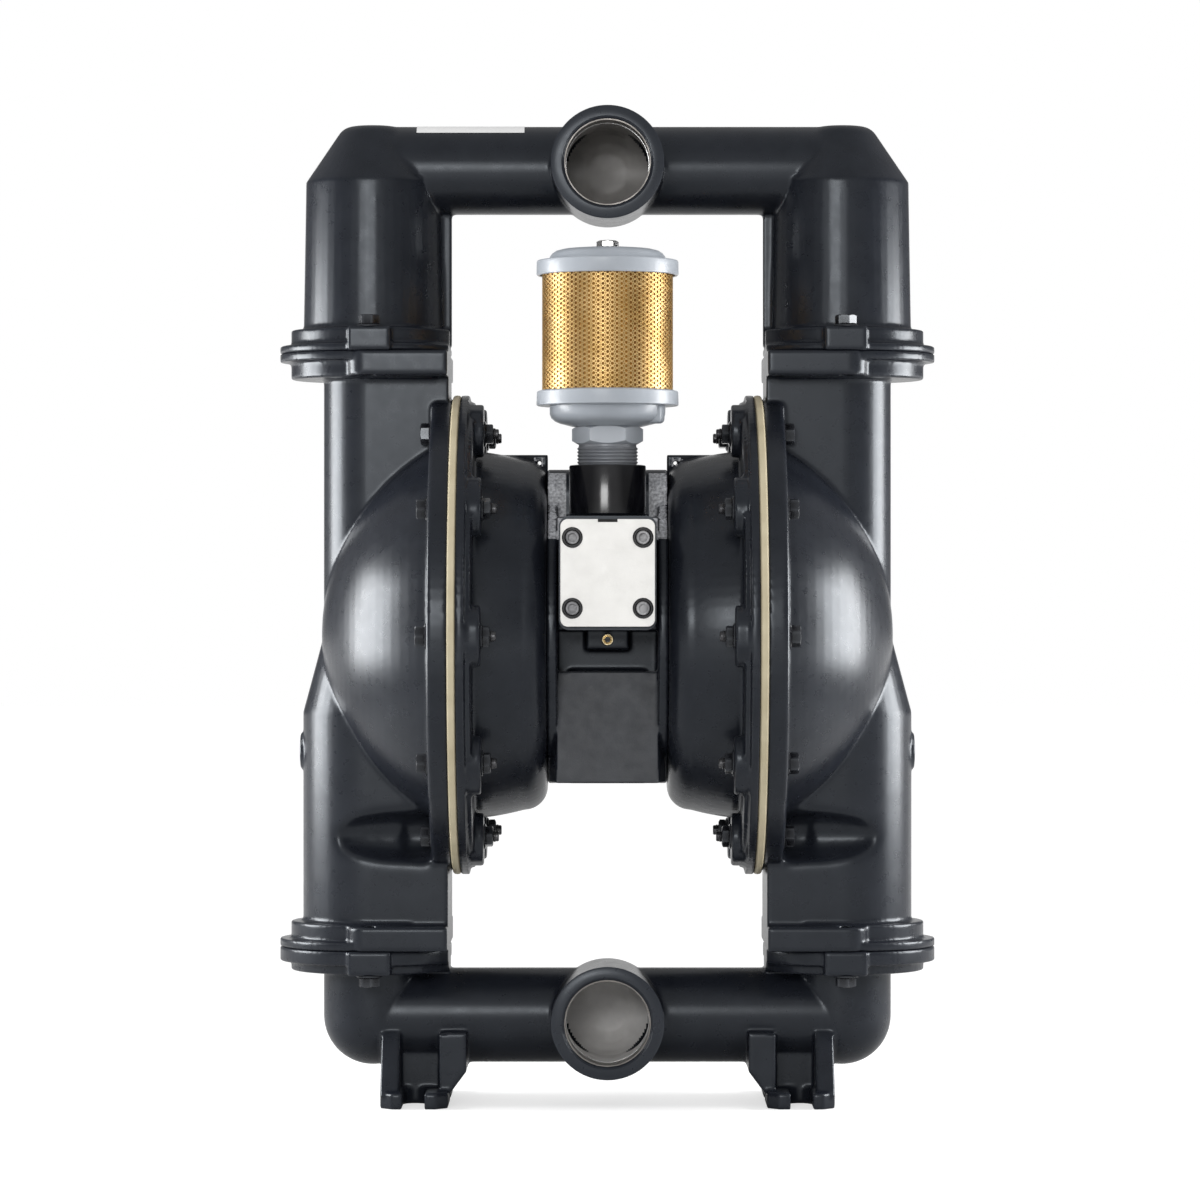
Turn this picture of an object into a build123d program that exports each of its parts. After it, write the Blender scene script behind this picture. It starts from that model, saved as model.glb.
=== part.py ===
from build123d import *
import math
import os

# Air operated double diaphragm pump with 2 inch ports.
# Millimetres. +Z is up, the ports face -Y, and +X is to the right seen from the front.
# The origin is on the ground, midway between the four ends of the feet.
# Pieces of the right-hand side are modelled, and the left-hand ones mirrored in the YZ plane.

os.makedirs("parts", exist_ok=True)

# ---------------------------------------------------------------- driving dimensions
# Layout
ROD_Z = 321.0  # height of the diaphragm rod
LEG_X = 161.5  # check valve axis to the middle plane
INLET_Z = 59.0  # centre of the inlet manifold's tube
OUTLET_Z = 641.0  # centre of the outlet manifold's tube
LOWER_JOINT_Z = 107.0  # inlet manifold to fluid cap
UPPER_JOINT_Z = 514.0  # fluid cap to outlet manifold
JOINT_SIDE_X = 108.5  # flat inner side of the necks and joints

# Clamped rim of the diaphragm and the two flanges on it
RIM_IN_X = 100.3
RIM_THICK = 5.7
RIM_R = 165.0
CHAMBER_INSET = 47.0  # each inset is measured inward from the rim's radius
CAP_FLANGE_INSET = 3.0
CAP_FLANGE_THICK = 13.5
CAP_FLANGE_ROUND = 3.0
AIR_FLANGE_INSET = 0.1
AIR_FLANGE_THICK = 5.8
AIR_STEP_INSET = 5.0
AIR_STEP_THICK = 4.0
BOLT_COUNT = 10
BOLT_INSET = 21.1

# Fluid cap
DOME_INSET = 15.0
DOME_APEX_X = 196.7
DOME_WALL = 7.0
NECK_R = 34.0
NECK_BORE_R = 26.0
BALL_CHAMBER_R = 48.2
INLET_CHAMBER_R = 40.0
FLARE_LOW_Z = 268.0
PASSAGE_R = 22.0
PASSAGE_LENGTH = 50.0  # how far each passage stops short of the rod's height
CAST_PAD_R = 12.0
CAST_PAD_X = 211.6
CAST_PAD_Z = 241.0
ACCESS_R = 15.0  # scallops that clear a socket on the lowest bolts
ACCESS_END_X = 175.0

# Flanged joints of the manifolds
LIP_R = 64.0
LIP_THICK = 5.6
STEP_R = 56.4
CAP_STEP_HEIGHT = 17.5
INLET_LIP_THICK = 10.0
LUG_FACE_Y = 66.0
LUG_WIDTH = 29.0
LUG_THICK = 16.5
LUG_BAR_END_X = 176.0
LUG_BAR_ROUND = 12.0
JOINT_BOLT_Y = 57.6
JOINT_BOLT_LENGTH = 30.0

# Manifolds
OUTLET_TUBE_R = 30.3
OUTLET_BORE_R = 25.3
OUTLET_LEG_R = 48.2
OUTLET_LEG_TOP_R = 46.2
OUTLET_CHAMBER_R = 39.5
SHOULDER_DROP = 8.5  # shoulder of the leg below the tube's centre
SHOULDER_TOP_R = 20.0
SHOULDER_ROUND = 12.0
WEB_SIDE_X = 107.3
WEB_THICK = 8.0
INLET_TUBE_R = 32.5
INLET_BORE_R = 26.0
PORT_R = 38.15
PORT_FACE_Y = 71.0
PORT_BACK_Y = 20.0
PORT_BACK_ROUND = 9.0
PORT_THREAD_R = 29.0
PORT_THREAD_LENGTH = 26.0
PORT_MOUTH_CHAMFER = 1.7

# Feet of the inlet manifold
FOOT_OUT_X = 154.3
FOOT_IN_X = 108.0
FOOT_DEPTH = 124.0
FOOT_PLATE = 11.0
FOOT_CORNER = 8.0
FOOT_RELIEF = 3.0
SLOT_X = 131.5
SLOT_WIDTH = 15.0
SLOT_LENGTH = 40.0
GUSSET_THICK = 13.0
GUSSET_TOP_Z = 50.0
GUSSET_IN_X = 96.0
FOOT_WEB_HALF = 22.0

# Check valves
SEAT_R = 41.0
SEAT_CLEARANCE = 0.1
SEAT_HEIGHT = 12.0
SEAT_BORE_R = 23.0
SEAT_MOUTH_R = 27.0
SEAT_HALF_ANGLE = 30.0
SEAT_GASKET = 1.5
BALL_R = 28.6
BALL_GAP = 0.3
BALL_LIFT = 15.0
GUIDE_CLEARANCE = 0.8
GUIDE_WIDTH = 8.0
GUIDE_CROWN = 5.0
GUIDE_ANGLE = 45.0

# Diaphragms, plates and rod
PLATE_GAP = 0.1
INNER_PLATE_R = 75.0
INNER_PLATE_THICK = 10.0
OUTER_PLATE_R = 70.0
OUTER_PLATE_THICK = 10.0
PLATE_EDGE = 5.0
PLATE_FLAT_R = 52.0
CONVOLUTION_RISE = 9.0
ROD_R = 12.0
ROD_CLEARANCE = 0.05
ROD_TAP_DEPTH = 36.0
SCREW_R = 8.0
SCREW_CLEARANCE = 0.1
SCREW_END_GAP = 1.0
SCREW_HEAD = 8.0
SCREW_FLATS = 24.0
BUSH_R = 16.0
BUSH_LENGTH = 17.0
SEAL_LENGTH = 5.0
ROD_RELIEF = 0.6

# Air caps
AIR_CAP_END_X = 41.0
AIR_CAP_INSET = 38.5
AIR_CAP_TAPER = 6.0
AIR_CAP_CURVE = 0.8
AIR_CAP_ROUND = 16.0
AIR_CAP_WALL = 7.0
BOLT_LUG_LENGTH = 41.0
BOLT_LUG_DEPTH = 34.0
BOLT_LUG_THICK = 10.5
BOLT_LUG_SHIFT = 2.1
LIFT_RIB_DROP = 2.5
LIFT_RIB_END_X = 82.0
LIFT_RIB_BAR = 4.0
LIFT_RIB_THICK = 6.0
AIR_CAP_SCREWS = 5
AIR_CAP_SCREW_RING_R = 60.0

# Centre body
END_DISC_INSET = 2.2
END_DISC_THICK = 7.0
BODY_TOP_Z = 434.0
BODY_BOTTOM_Z = 240.0
BODY_FRONT_Y = 50.0
BODY_BACK_Y = 75.0
BODY_ROUND = 18.0
SHOULDER_DEPTH = 48.0
VALVE_PAD_Y = 77.0
LOWER_BLOCK_Y = 80.0
LOWER_BLOCK_TOP_Z = 297.0
LOWER_BLOCK_BOTTOM_Z = 221.5
LOWER_BLOCK_CHAMFER = 9.0
EARTH_TAB_WIDTH = 29.0
EARTH_TAB_HEIGHT = 13.5
EARTH_TAB_Y = 66.0
EARTH_SCREW_R = 2.0
EARTH_SCREW_HEAD_R = 3.9
EARTH_SCREW_HEAD = 2.6
AIR_INLET_Z = 375.0
AIR_INLET_R = 9.8
AIR_INLET_LENGTH = 25.0
AIR_DUCT_R = 7.0
AIR_DUCT_LENGTH = 70.0

# Pilot rod beside the diaphragm rod
PILOT_Y = -24.0
PILOT_DROP = 34.0
PILOT_R = 5.0
PILOT_REACH = 70.0
PILOT_SLEEVE_R = 8.0

# Air valve on the front of the centre body
VALVE_RISE = 42.0  # valve axis above the rod
VALVE_BLOCK_WIDTH = 65.0
VALVE_BLOCK_HEIGHT = 76.0
VALVE_BLOCK_DEPTH = 40.0
VALVE_BLOCK_ROUND = 7.0
VALVE_GASKET = 1.0
COVER_WIDTH = 63.0
COVER_HEIGHT = 71.5
COVER_THICK = 5.0
COVER_ROUND = 5.0
COVER_NOTCH_WIDTH = 13.0
COVER_NOTCH_DEPTH = 2.0
COVER_SCREW_PITCH = 47.0
COVER_SCREW_R = 3.0
COVER_SCREW_HEAD_R = 4.8
COVER_SCREW_HEAD = 3.0
COVER_SCREW_LENGTH = 18.0
SPOOL_R = 12.5
SPOOL_CLEARANCE = 0.1
SPOOL_LENGTH = 50.0
SPOOL_TRAVEL = 5.5
SPOOL_END_ROOM = 0.5
SPOOL_DEPTH = 21.0  # spool axis behind the front of the valve block
SPOOL_GROOVE = 2.0
INSERT_LENGTH = 18.0
INSERT_HEIGHT = 16.0
INSERT_CLEARANCE = 0.2
INSERT_CUP = 4.0
VALVE_PLATE_LENGTH = 36.0
VALVE_PLATE_HEIGHT = 26.0
VALVE_PLATE_THICK = 4.0
VALVE_PORT_R = 3.0
VALVE_PORT_PITCH = 9.0

# Exhaust boss and muffler
BOSS_Y = 70.0
BOSS_R = 25.8
BOSS_HEIGHT = 34.0
BOSS_RISE = 2.0  # above the top of the centre body
BOSS_THREAD_DEPTH = 12.0
EXHAUST_R = 14.0
MUFFLER_THREAD_R = 20.5
MUFFLER_THREAD_CLEARANCE = 0.1
MUFFLER_HEX_RISE = 16.0  # each rise is measured from the feature below
MUFFLER_HEX_FLATS = 41.6
MUFFLER_HEX_HEIGHT = 13.0
MUFFLER_BOWL_R = 39.0
MUFFLER_BOWL_FOOT_R = 27.0
DRAIN_LUG_REACH = 40.0
DRAIN_LUG_WIDTH = 11.0
DRAIN_LUG_HEIGHT = 13.5
DRAIN_LUG_ROUND = 4.0
DRAIN_LUG_ANGLE = -24.0
MUFFLER_RIM_R = 48.0
MUFFLER_RIM_RISE = 25.6
MUFFLER_RIM_HEIGHT = 9.1
MUFFLER_CAP_RISE = 89.4
MUFFLER_CAP_RIM = 9.0
MUFFLER_CAP_R = 39.0
MUFFLER_CAP_HEIGHT = 19.0
MUFFLER_CAP_CROWN = 2.5
SCREEN_R = 44.2
SCREEN_THICK = 1.2
SCREEN_SEAT = 3.0
ELEMENT_R = 41.0
ELEMENT_BORE_R = 24.0
TIE_ROD_R = 4.0
TIE_BAR = 12.0
TIE_ROD_CLEARANCE = 0.1
TIE_NUT_FLATS = 13.0
TIE_NUT_HEIGHT = 5.0

# M8 flanged fasteners
M8_R = 4.0
M8_HOLE_R = 4.5
M8_FLATS = 12.8
M8_FLANGE_R = 8.7
M8_FLANGE = 2.0
M8_HEAD = 7.8
M8_NUT = 6.2
DIAPHRAGM_BOLT_LENGTH = 45.6
M8_NUT_CLEARANCE = 0.05
AIR_CAP_SCREW_HEAD_R = 6.5
AIR_CAP_SCREW_HEAD = 8.0
AIR_CAP_SCREW_LENGTH = 18.0

# ---------------------------------------------------------------- derived places
CHAMBER_R = RIM_R - CHAMBER_INSET
CAP_FLANGE_R = RIM_R - CAP_FLANGE_INSET
AIR_FLANGE_R = RIM_R - AIR_FLANGE_INSET
AIR_STEP_R = RIM_R - AIR_STEP_INSET
BOLT_RING_R = RIM_R - BOLT_INSET
BOLT_LUG_R = BOLT_RING_R + BOLT_LUG_SHIFT
DOME_R = RIM_R - DOME_INSET
AIR_CAP_R = RIM_R - AIR_CAP_INSET
AIR_CAP_END_R = AIR_CAP_R - AIR_CAP_TAPER
AIR_CAP_FLAT_R = AIR_CAP_END_R - AIR_CAP_ROUND
END_DISC_R = AIR_CAP_FLAT_R - END_DISC_INSET
LIFT_RIB_Z = ROD_Z + AIR_CAP_R - LIFT_RIB_DROP
BOSS_TOP_Z = BODY_TOP_Z + BOSS_RISE
BOSS_BOTTOM_Z = BOSS_TOP_Z - BOSS_HEIGHT
MUFFLER_HEX_Z = BOSS_TOP_Z + MUFFLER_HEX_RISE
MUFFLER_RIM_Z = MUFFLER_HEX_Z + MUFFLER_RIM_RISE
MUFFLER_CAP_Z = MUFFLER_RIM_Z + MUFFLER_CAP_RISE
RIM_OUT_X = RIM_IN_X + RIM_THICK
CAP_FACE_X = RIM_OUT_X + CAP_FLANGE_THICK
AIR_FACE_X = RIM_IN_X - AIR_FLANGE_THICK
AIR_STEP_X = AIR_FACE_X - AIR_STEP_THICK
BOLT_LUG_X = AIR_FACE_X - BOLT_LUG_THICK
DOME_CENTER_X = DOME_APEX_X - DOME_R
VALVE_Z = ROD_Z + VALVE_RISE
SPOOL_Y = -(VALVE_PAD_Y + VALVE_GASKET + VALVE_BLOCK_DEPTH - SPOOL_DEPTH)
BLOCK_BACK_Y = -(VALVE_PAD_Y + VALVE_GASKET)
BLOCK_FRONT_Y = BLOCK_BACK_Y - VALVE_BLOCK_DEPTH
COVER_BACK_Y = BLOCK_FRONT_Y - VALVE_GASKET
COVER_FRONT_Y = COVER_BACK_Y - COVER_THICK
BODY_HALF_X = AIR_CAP_END_X - END_DISC_THICK
BOLT_PITCH = 360 / BOLT_COUNT
PILOT_Z = ROD_Z - PILOT_DROP
ROD_HALF = RIM_IN_X - PLATE_GAP - INNER_PLATE_THICK

ROD_AXIS = Axis((0, 0, ROD_Z), (1, 0, 0))
LEG_AXIS = Axis((LEG_X, 0, 0), (0, 0, 1))
MUFFLER_AXIS = Axis((0, -BOSS_Y, 0), (0, 0, 1))

CUT = Mode.SUBTRACT
CUT_MARGIN = 1.0  # how far a cut runs past what it cuts


# ---------------------------------------------------------------- shared shapes
def save(piece, label):
    """Label a finished piece and write it."""
    piece.part.label = label
    export_step(piece.part, f"parts/{label}.step")


def save_pair(piece, name):
    """Write a right-hand piece and its mirror image."""
    save(piece, f"right_{name}")
    with BuildPart() as twin:
        mirror(piece.part, about=Plane.YZ)
    save(twin, f"left_{name}")


def rod_plane(x, outward=1):
    """Plane square to the rod at x, its own X axis to the front, facing out or in."""
    return Plane(origin=(x, 0, ROD_Z), x_dir=(0, -1, 0), z_dir=(outward, 0, 0))


def front_plane(y, z=0.0):
    """Plane facing the front at y, its own Y axis up."""
    return Plane(origin=(0, y, z), x_dir=(1, 0, 0), z_dir=(0, -1, 0))


def neck_section(radius):
    """Section of a leg of the cap: round outside, flat walls running in to the joint's side."""
    with Locations((LEG_X, 0)):
        Circle(radius)
    with Locations(((LEG_X + JOINT_SIDE_X) / 2, 0)):
        Rectangle(LEG_X - JOINT_SIDE_X, 2 * radius)


def joint_section(radius):
    """Round joint face with its inner side cut flat."""
    with Locations((LEG_X, 0)):
        Circle(radius)
    with Locations((JOINT_SIDE_X - radius / 2, 0)):
        Rectangle(radius, 2 * radius, mode=CUT)


def bolt_places():
    """Places of the two bolts of one joint, on the sketch plane."""
    return Locations((LEG_X, -JOINT_BOLT_Y), (LEG_X, JOINT_BOLT_Y))


def rim_bolts():
    """Places of the bolts round the diaphragm's rim."""
    return PolarLocations(BOLT_RING_R, BOLT_COUNT)


# ---------------------------------------------------------------- check valves
SEAT_TOP = SEAT_GASKET + SEAT_HEIGHT  # above the joint
seat_slope = math.tan(math.radians(SEAT_HALF_ANGLE))
ball_touch_r = BALL_R * math.cos(math.radians(SEAT_HALF_ANGLE))
ball_touch_z = SEAT_TOP - (SEAT_MOUTH_R - ball_touch_r) / seat_slope
BALL_RISE = (
    ball_touch_z
    + BALL_R * math.sin(math.radians(SEAT_HALF_ANGLE))
    + BALL_GAP / math.sin(math.radians(SEAT_HALF_ANGLE))
)


def ball_cavity(joint_z, chamber_r, shoulder_z, throat_r, throat_z):
    """Space round one check ball: seat pocket, chamber, throat, and four guide ribs left standing."""
    seat_top = joint_z + SEAT_TOP
    lifted_z = joint_z + BALL_RISE + BALL_LIFT
    guide_r = BALL_R + GUIDE_CLEARANCE
    guide_top = lifted_z + guide_r + GUIDE_CROWN
    with BuildPart() as cavity:
        with BuildSketch(Plane.XZ):
            with BuildLine():
                Polyline(
                    (LEG_X, joint_z),
                    (LEG_X + SEAT_R, joint_z),
                    (LEG_X + SEAT_R, seat_top),
                    (LEG_X + chamber_r, seat_top),
                    (LEG_X + chamber_r, shoulder_z),
                    (LEG_X + throat_r, throat_z),
                    (LEG_X, throat_z),
                    close=True,
                )
            make_face()
        revolve(axis=LEG_AXIS)
        with BuildSketch(Plane.XY.offset(seat_top)):
            with Locations((LEG_X, 0)):
                with PolarLocations(0, 2, start_angle=GUIDE_ANGLE, angular_range=180):
                    Rectangle(2 * (chamber_r + CUT_MARGIN), GUIDE_WIDTH)
        extrude(amount=guide_top - seat_top, mode=CUT)
        with BuildSketch(Plane.XY.offset(seat_top)):
            with Locations((LEG_X, 0)):
                Circle(guide_r)
        extrude(amount=lifted_z - seat_top)
        with Locations((LEG_X, 0, lifted_z)):
            Sphere(guide_r)
    return cavity.part


def check_valve(joint_z, name):
    """Seat and ball of one check valve pair."""
    seat_z = joint_z + SEAT_GASKET
    seat_top = joint_z + SEAT_TOP
    throat_z = seat_top - (SEAT_MOUTH_R - SEAT_BORE_R) / seat_slope
    with BuildPart() as seat:
        with BuildSketch(Plane.XZ):
            with BuildLine():
                Polyline(
                    (LEG_X + SEAT_BORE_R, seat_z),
                    (LEG_X + SEAT_R - SEAT_CLEARANCE, seat_z),
                    (LEG_X + SEAT_R - SEAT_CLEARANCE, seat_top),
                    (LEG_X + SEAT_MOUTH_R, seat_top),
                    (LEG_X + SEAT_BORE_R, throat_z),
                    close=True,
                )
            make_face()
        revolve(axis=LEG_AXIS)
    save_pair(seat, f"{name}_seat")

    with BuildPart() as ball:
        with Locations((LEG_X, 0, joint_z + BALL_RISE)):
            Sphere(BALL_R)
    save_pair(ball, f"{name}_ball")


check_valve(LOWER_JOINT_Z, "inlet")
check_valve(UPPER_JOINT_Z, "outlet")

with BuildPart() as seat_gaskets:
    for joint_z in (LOWER_JOINT_Z, UPPER_JOINT_Z):
        with BuildSketch(Plane.XY.offset(joint_z)):
            with Locations((-LEG_X, 0), (LEG_X, 0)):
                Circle(SEAT_R - SEAT_CLEARANCE)
                Circle(NECK_BORE_R, mode=CUT)
        extrude(amount=SEAT_GASKET)
save(seat_gaskets, "seat_gaskets")

# ---------------------------------------------------------------- fluid caps
dome_foot_r = math.sqrt(DOME_R**2 - (CAP_FACE_X - DOME_CENTER_X) ** 2)
dome_mid = (DOME_CENTER_X + DOME_R * math.cos(math.pi / 6), ROD_Z + DOME_R * math.sin(math.pi / 6))
hollow_r = DOME_R - DOME_WALL
hollow_foot_x = DOME_CENTER_X + math.sqrt(hollow_r**2 - CHAMBER_R**2)
hollow_mid = (DOME_CENTER_X + hollow_r * math.cos(math.pi / 6), ROD_Z + hollow_r * math.sin(math.pi / 6))
inlet_shoulder_z = LOWER_JOINT_Z + BALL_RISE + BALL_LIFT + GUIDE_CROWN
inlet_throat_z = inlet_shoulder_z + (INLET_CHAMBER_R - PASSAGE_R)

with BuildPart() as right_fluid_cap:
    # Flange and dome, round the rod
    with BuildSketch(Plane.XZ):
        with BuildLine():
            Polyline(
                (DOME_APEX_X, ROD_Z),
                (RIM_OUT_X, ROD_Z),
                (RIM_OUT_X, ROD_Z + CAP_FLANGE_R),
                (CAP_FACE_X - CAP_FLANGE_ROUND, ROD_Z + CAP_FLANGE_R),
            )
            RadiusArc(
                (CAP_FACE_X - CAP_FLANGE_ROUND, ROD_Z + CAP_FLANGE_R),
                (CAP_FACE_X, ROD_Z + CAP_FLANGE_R - CAP_FLANGE_ROUND),
                CAP_FLANGE_ROUND,
            )
            Line(
                (CAP_FACE_X, ROD_Z + CAP_FLANGE_R - CAP_FLANGE_ROUND),
                (CAP_FACE_X, ROD_Z + dome_foot_r),
            )
            ThreePointArc((CAP_FACE_X, ROD_Z + dome_foot_r), dome_mid, (DOME_APEX_X, ROD_Z))
        make_face()
    revolve(axis=ROD_AXIS)
    # Neck up to the outlet joint
    with BuildSketch(Plane.XY.offset(ROD_Z)):
        neck_section(NECK_R)
    extrude(amount=UPPER_JOINT_Z - ROD_Z)
    # Inlet ball chamber, flaring out below the dome's middle
    with BuildSketch(Plane.XY.offset(LOWER_JOINT_Z)):
        neck_section(BALL_CHAMBER_R)
    extrude(amount=FLARE_LOW_Z - LOWER_JOINT_Z)
    with BuildSketch(Plane.XY.offset(FLARE_LOW_Z)):
        neck_section(BALL_CHAMBER_R)
    with BuildSketch(Plane.XY.offset(ROD_Z)):
        neck_section(NECK_R)
    loft()
    with BuildSketch(Plane.YZ.offset(LEG_X)):
        with Locations((0, CAST_PAD_Z)):
            Circle(CAST_PAD_R)
    extrude(amount=CAST_PAD_X - LEG_X)
    # Joint flanges: lip, step and bolt bar at each end
    for joint_z, inward in ((LOWER_JOINT_Z, 1), (UPPER_JOINT_Z, -1)):
        with BuildSketch(Plane.XY.offset(joint_z)):
            joint_section(LIP_R)
        extrude(amount=inward * LIP_THICK)
        with BuildSketch(Plane.XY.offset(joint_z)):
            joint_section(STEP_R)
        extrude(amount=inward * CAP_STEP_HEIGHT)
        with BuildSketch(Plane.XY.offset(joint_z)):
            with Locations(((JOINT_SIDE_X + LUG_BAR_END_X) / 2, 0)):
                Rectangle(LUG_BAR_END_X - JOINT_SIDE_X, 2 * LUG_FACE_Y)
            outer_corners = vertices().group_by(Axis.X)[-1]
            fillet(outer_corners, LUG_BAR_ROUND)
        extrude(amount=inward * LUG_THICK)
    # Scallops that let a socket reach the bolts beside the ball chamber
    with Locations(rod_plane(CAP_FACE_X)):
        with PolarLocations(
            BOLT_RING_R, 2, start_angle=90 - BOLT_PITCH / 2, angular_range=2 * BOLT_PITCH
        ):
            Cylinder(
                ACCESS_R,
                ACCESS_END_X - CAP_FACE_X,
                align=(Align.CENTER, Align.CENTER, Align.MIN),
                mode=CUT,
            )
            with Locations((0, 0, ACCESS_END_X - CAP_FACE_X)):
                Sphere(ACCESS_R, mode=CUT)
    # Fluid chamber behind the diaphragm
    with BuildSketch(Plane.XZ):
        with BuildLine():
            Polyline(
                (DOME_APEX_X - DOME_WALL, ROD_Z),
                (RIM_OUT_X, ROD_Z),
                (RIM_OUT_X, ROD_Z + CHAMBER_R),
                (hollow_foot_x, ROD_Z + CHAMBER_R),
            )
            ThreePointArc(
                (hollow_foot_x, ROD_Z + CHAMBER_R), hollow_mid, (DOME_APEX_X - DOME_WALL, ROD_Z)
            )
        make_face()
    revolve(axis=ROD_AXIS, mode=CUT)
    # Outlet passage, inlet passage and the room for the inlet ball
    with BuildSketch(Plane.XY.offset(UPPER_JOINT_Z)):
        with Locations((LEG_X, 0)):
            Circle(NECK_BORE_R)
    extrude(amount=ROD_Z + PASSAGE_LENGTH - UPPER_JOINT_Z, mode=CUT)
    with BuildSketch(Plane.XY.offset(inlet_throat_z)):
        with Locations((LEG_X, 0)):
            Circle(PASSAGE_R)
    extrude(amount=ROD_Z - PASSAGE_LENGTH - inlet_throat_z, mode=CUT)
    add(
        ball_cavity(LOWER_JOINT_Z, INLET_CHAMBER_R, inlet_shoulder_z, PASSAGE_R, inlet_throat_z),
        mode=CUT,
    )
    # Bolt holes
    with BuildSketch(rod_plane(RIM_OUT_X)):
        with rim_bolts():
            Circle(M8_HOLE_R)
    extrude(amount=CAP_FLANGE_THICK, mode=CUT)
    for joint_z, inward in ((LOWER_JOINT_Z, 1), (UPPER_JOINT_Z, -1)):
        with BuildSketch(Plane.XY.offset(joint_z)):
            with bolt_places():
                Circle(M8_R + M8_NUT_CLEARANCE)
        extrude(amount=inward * LUG_THICK, mode=CUT)
save_pair(right_fluid_cap, "fluid_cap")

# ---------------------------------------------------------------- ports of the manifolds
def port_body(center_z):
    """Boss of a port, closed and rounded at the back."""
    with BuildPart() as boss:
        with BuildSketch(front_plane(PORT_BACK_Y, center_z)):
            Circle(PORT_R)
        extrude(amount=PORT_BACK_Y + PORT_FACE_Y)
        fillet(edges().group_by(Axis.Y)[-1], PORT_BACK_ROUND)
    return boss.part


def port_bore(center_z, bore_r):
    """Space of a port: chamfered mouth, thread bore, then the waterway."""
    with BuildPart() as bore:
        with BuildSketch(front_plane(-PORT_FACE_Y, center_z)):
            Circle(PORT_THREAD_R)
        extrude(amount=-PORT_THREAD_LENGTH)
        with BuildSketch(front_plane(-PORT_FACE_Y, center_z)):
            Circle(bore_r)
        extrude(amount=-PORT_FACE_Y)
        with Locations(front_plane(-PORT_FACE_Y, center_z)):
            Cone(
                PORT_THREAD_R,
                PORT_THREAD_R + PORT_MOUTH_CHAMFER,
                PORT_MOUTH_CHAMFER,
                align=(Align.CENTER, Align.CENTER, Align.MAX),
            )
    return bore.part


# ---------------------------------------------------------------- outlet manifold
leg_foot_z = UPPER_JOINT_Z + LIP_THICK
outlet_shoulder_z = OUTLET_Z - SHOULDER_DROP
outlet_top_z = OUTLET_Z + OUTLET_TUBE_R
shoulder_start = (LEG_X + OUTLET_LEG_TOP_R, outlet_shoulder_z)
shoulder_end = (LEG_X + SHOULDER_TOP_R, outlet_top_z)

with BuildPart() as right_leg:
    with BuildSketch(Plane.XZ):
        with BuildLine():
            Polyline(
                (LEG_X, outlet_top_z),
                (LEG_X, UPPER_JOINT_Z),
                (LEG_X + OUTLET_LEG_R, UPPER_JOINT_Z),
                shoulder_start,
                shoulder_end,
                close=True,
            )
        make_face()
        rounded = vertices().sort_by_distance(shoulder_end)[0]
        fillet(rounded, SHOULDER_ROUND)
    revolve(axis=LEG_AXIS)
    with BuildSketch(Plane.XY.offset(UPPER_JOINT_Z)):
        joint_section(LIP_R)
    extrude(amount=LIP_THICK)
    with BuildSketch(Plane.XY.offset(UPPER_JOINT_Z)):
        joint_section(STEP_R)
    extrude(amount=LUG_THICK)
    with BuildSketch(Plane.XY.offset(UPPER_JOINT_Z)):
        with Locations((LEG_X, 0)):
            Rectangle(LUG_WIDTH, 2 * LUG_FACE_Y)
    extrude(amount=LUG_THICK)
    # Web down the leg's inner side
    with BuildSketch(Plane.XZ):
        with Locations((WEB_SIDE_X, leg_foot_z)):
            Rectangle(
                LEG_X - WEB_SIDE_X,
                OUTLET_Z - OUTLET_TUBE_R / 2 - leg_foot_z,
                align=(Align.MIN, Align.MIN),
            )
    extrude(amount=WEB_THICK / 2, both=True)

with BuildPart() as outlet_manifold:
    add(right_leg.part)
    mirror(right_leg.part, about=Plane.YZ)
    with BuildSketch(Plane.YZ):
        with Locations((0, OUTLET_Z)):
            Circle(OUTLET_TUBE_R)
    extrude(amount=LEG_X, both=True)
    add(port_body(OUTLET_Z))
    # Waterways
    with BuildSketch(Plane.YZ):
        with Locations((0, OUTLET_Z)):
            Circle(OUTLET_BORE_R)
    extrude(amount=LEG_X, both=True, mode=CUT)
    add(port_bore(OUTLET_Z, OUTLET_BORE_R), mode=CUT)
    outlet_cavity = ball_cavity(
        UPPER_JOINT_Z,
        OUTLET_CHAMBER_R,
        outlet_shoulder_z,
        SHOULDER_TOP_R,
        OUTLET_Z + SHOULDER_TOP_R,
    )
    add(outlet_cavity, mode=CUT)
    mirror(outlet_cavity, about=Plane.YZ, mode=CUT)
    # Bolt holes
    with BuildSketch(Plane.XY.offset(UPPER_JOINT_Z)):
        with bolt_places():
            Circle(M8_HOLE_R)
        mirror(about=Plane.YZ)
    extrude(amount=LUG_THICK, mode=CUT)
save(outlet_manifold, "outlet_manifold")

# ---------------------------------------------------------------- inlet manifold
foot_mid_x = (FOOT_OUT_X + FOOT_IN_X) / 2
gusset_foot_y = FOOT_DEPTH / 2 - FOOT_CORNER / 2
gusset_top_y = INLET_TUBE_R

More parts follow.
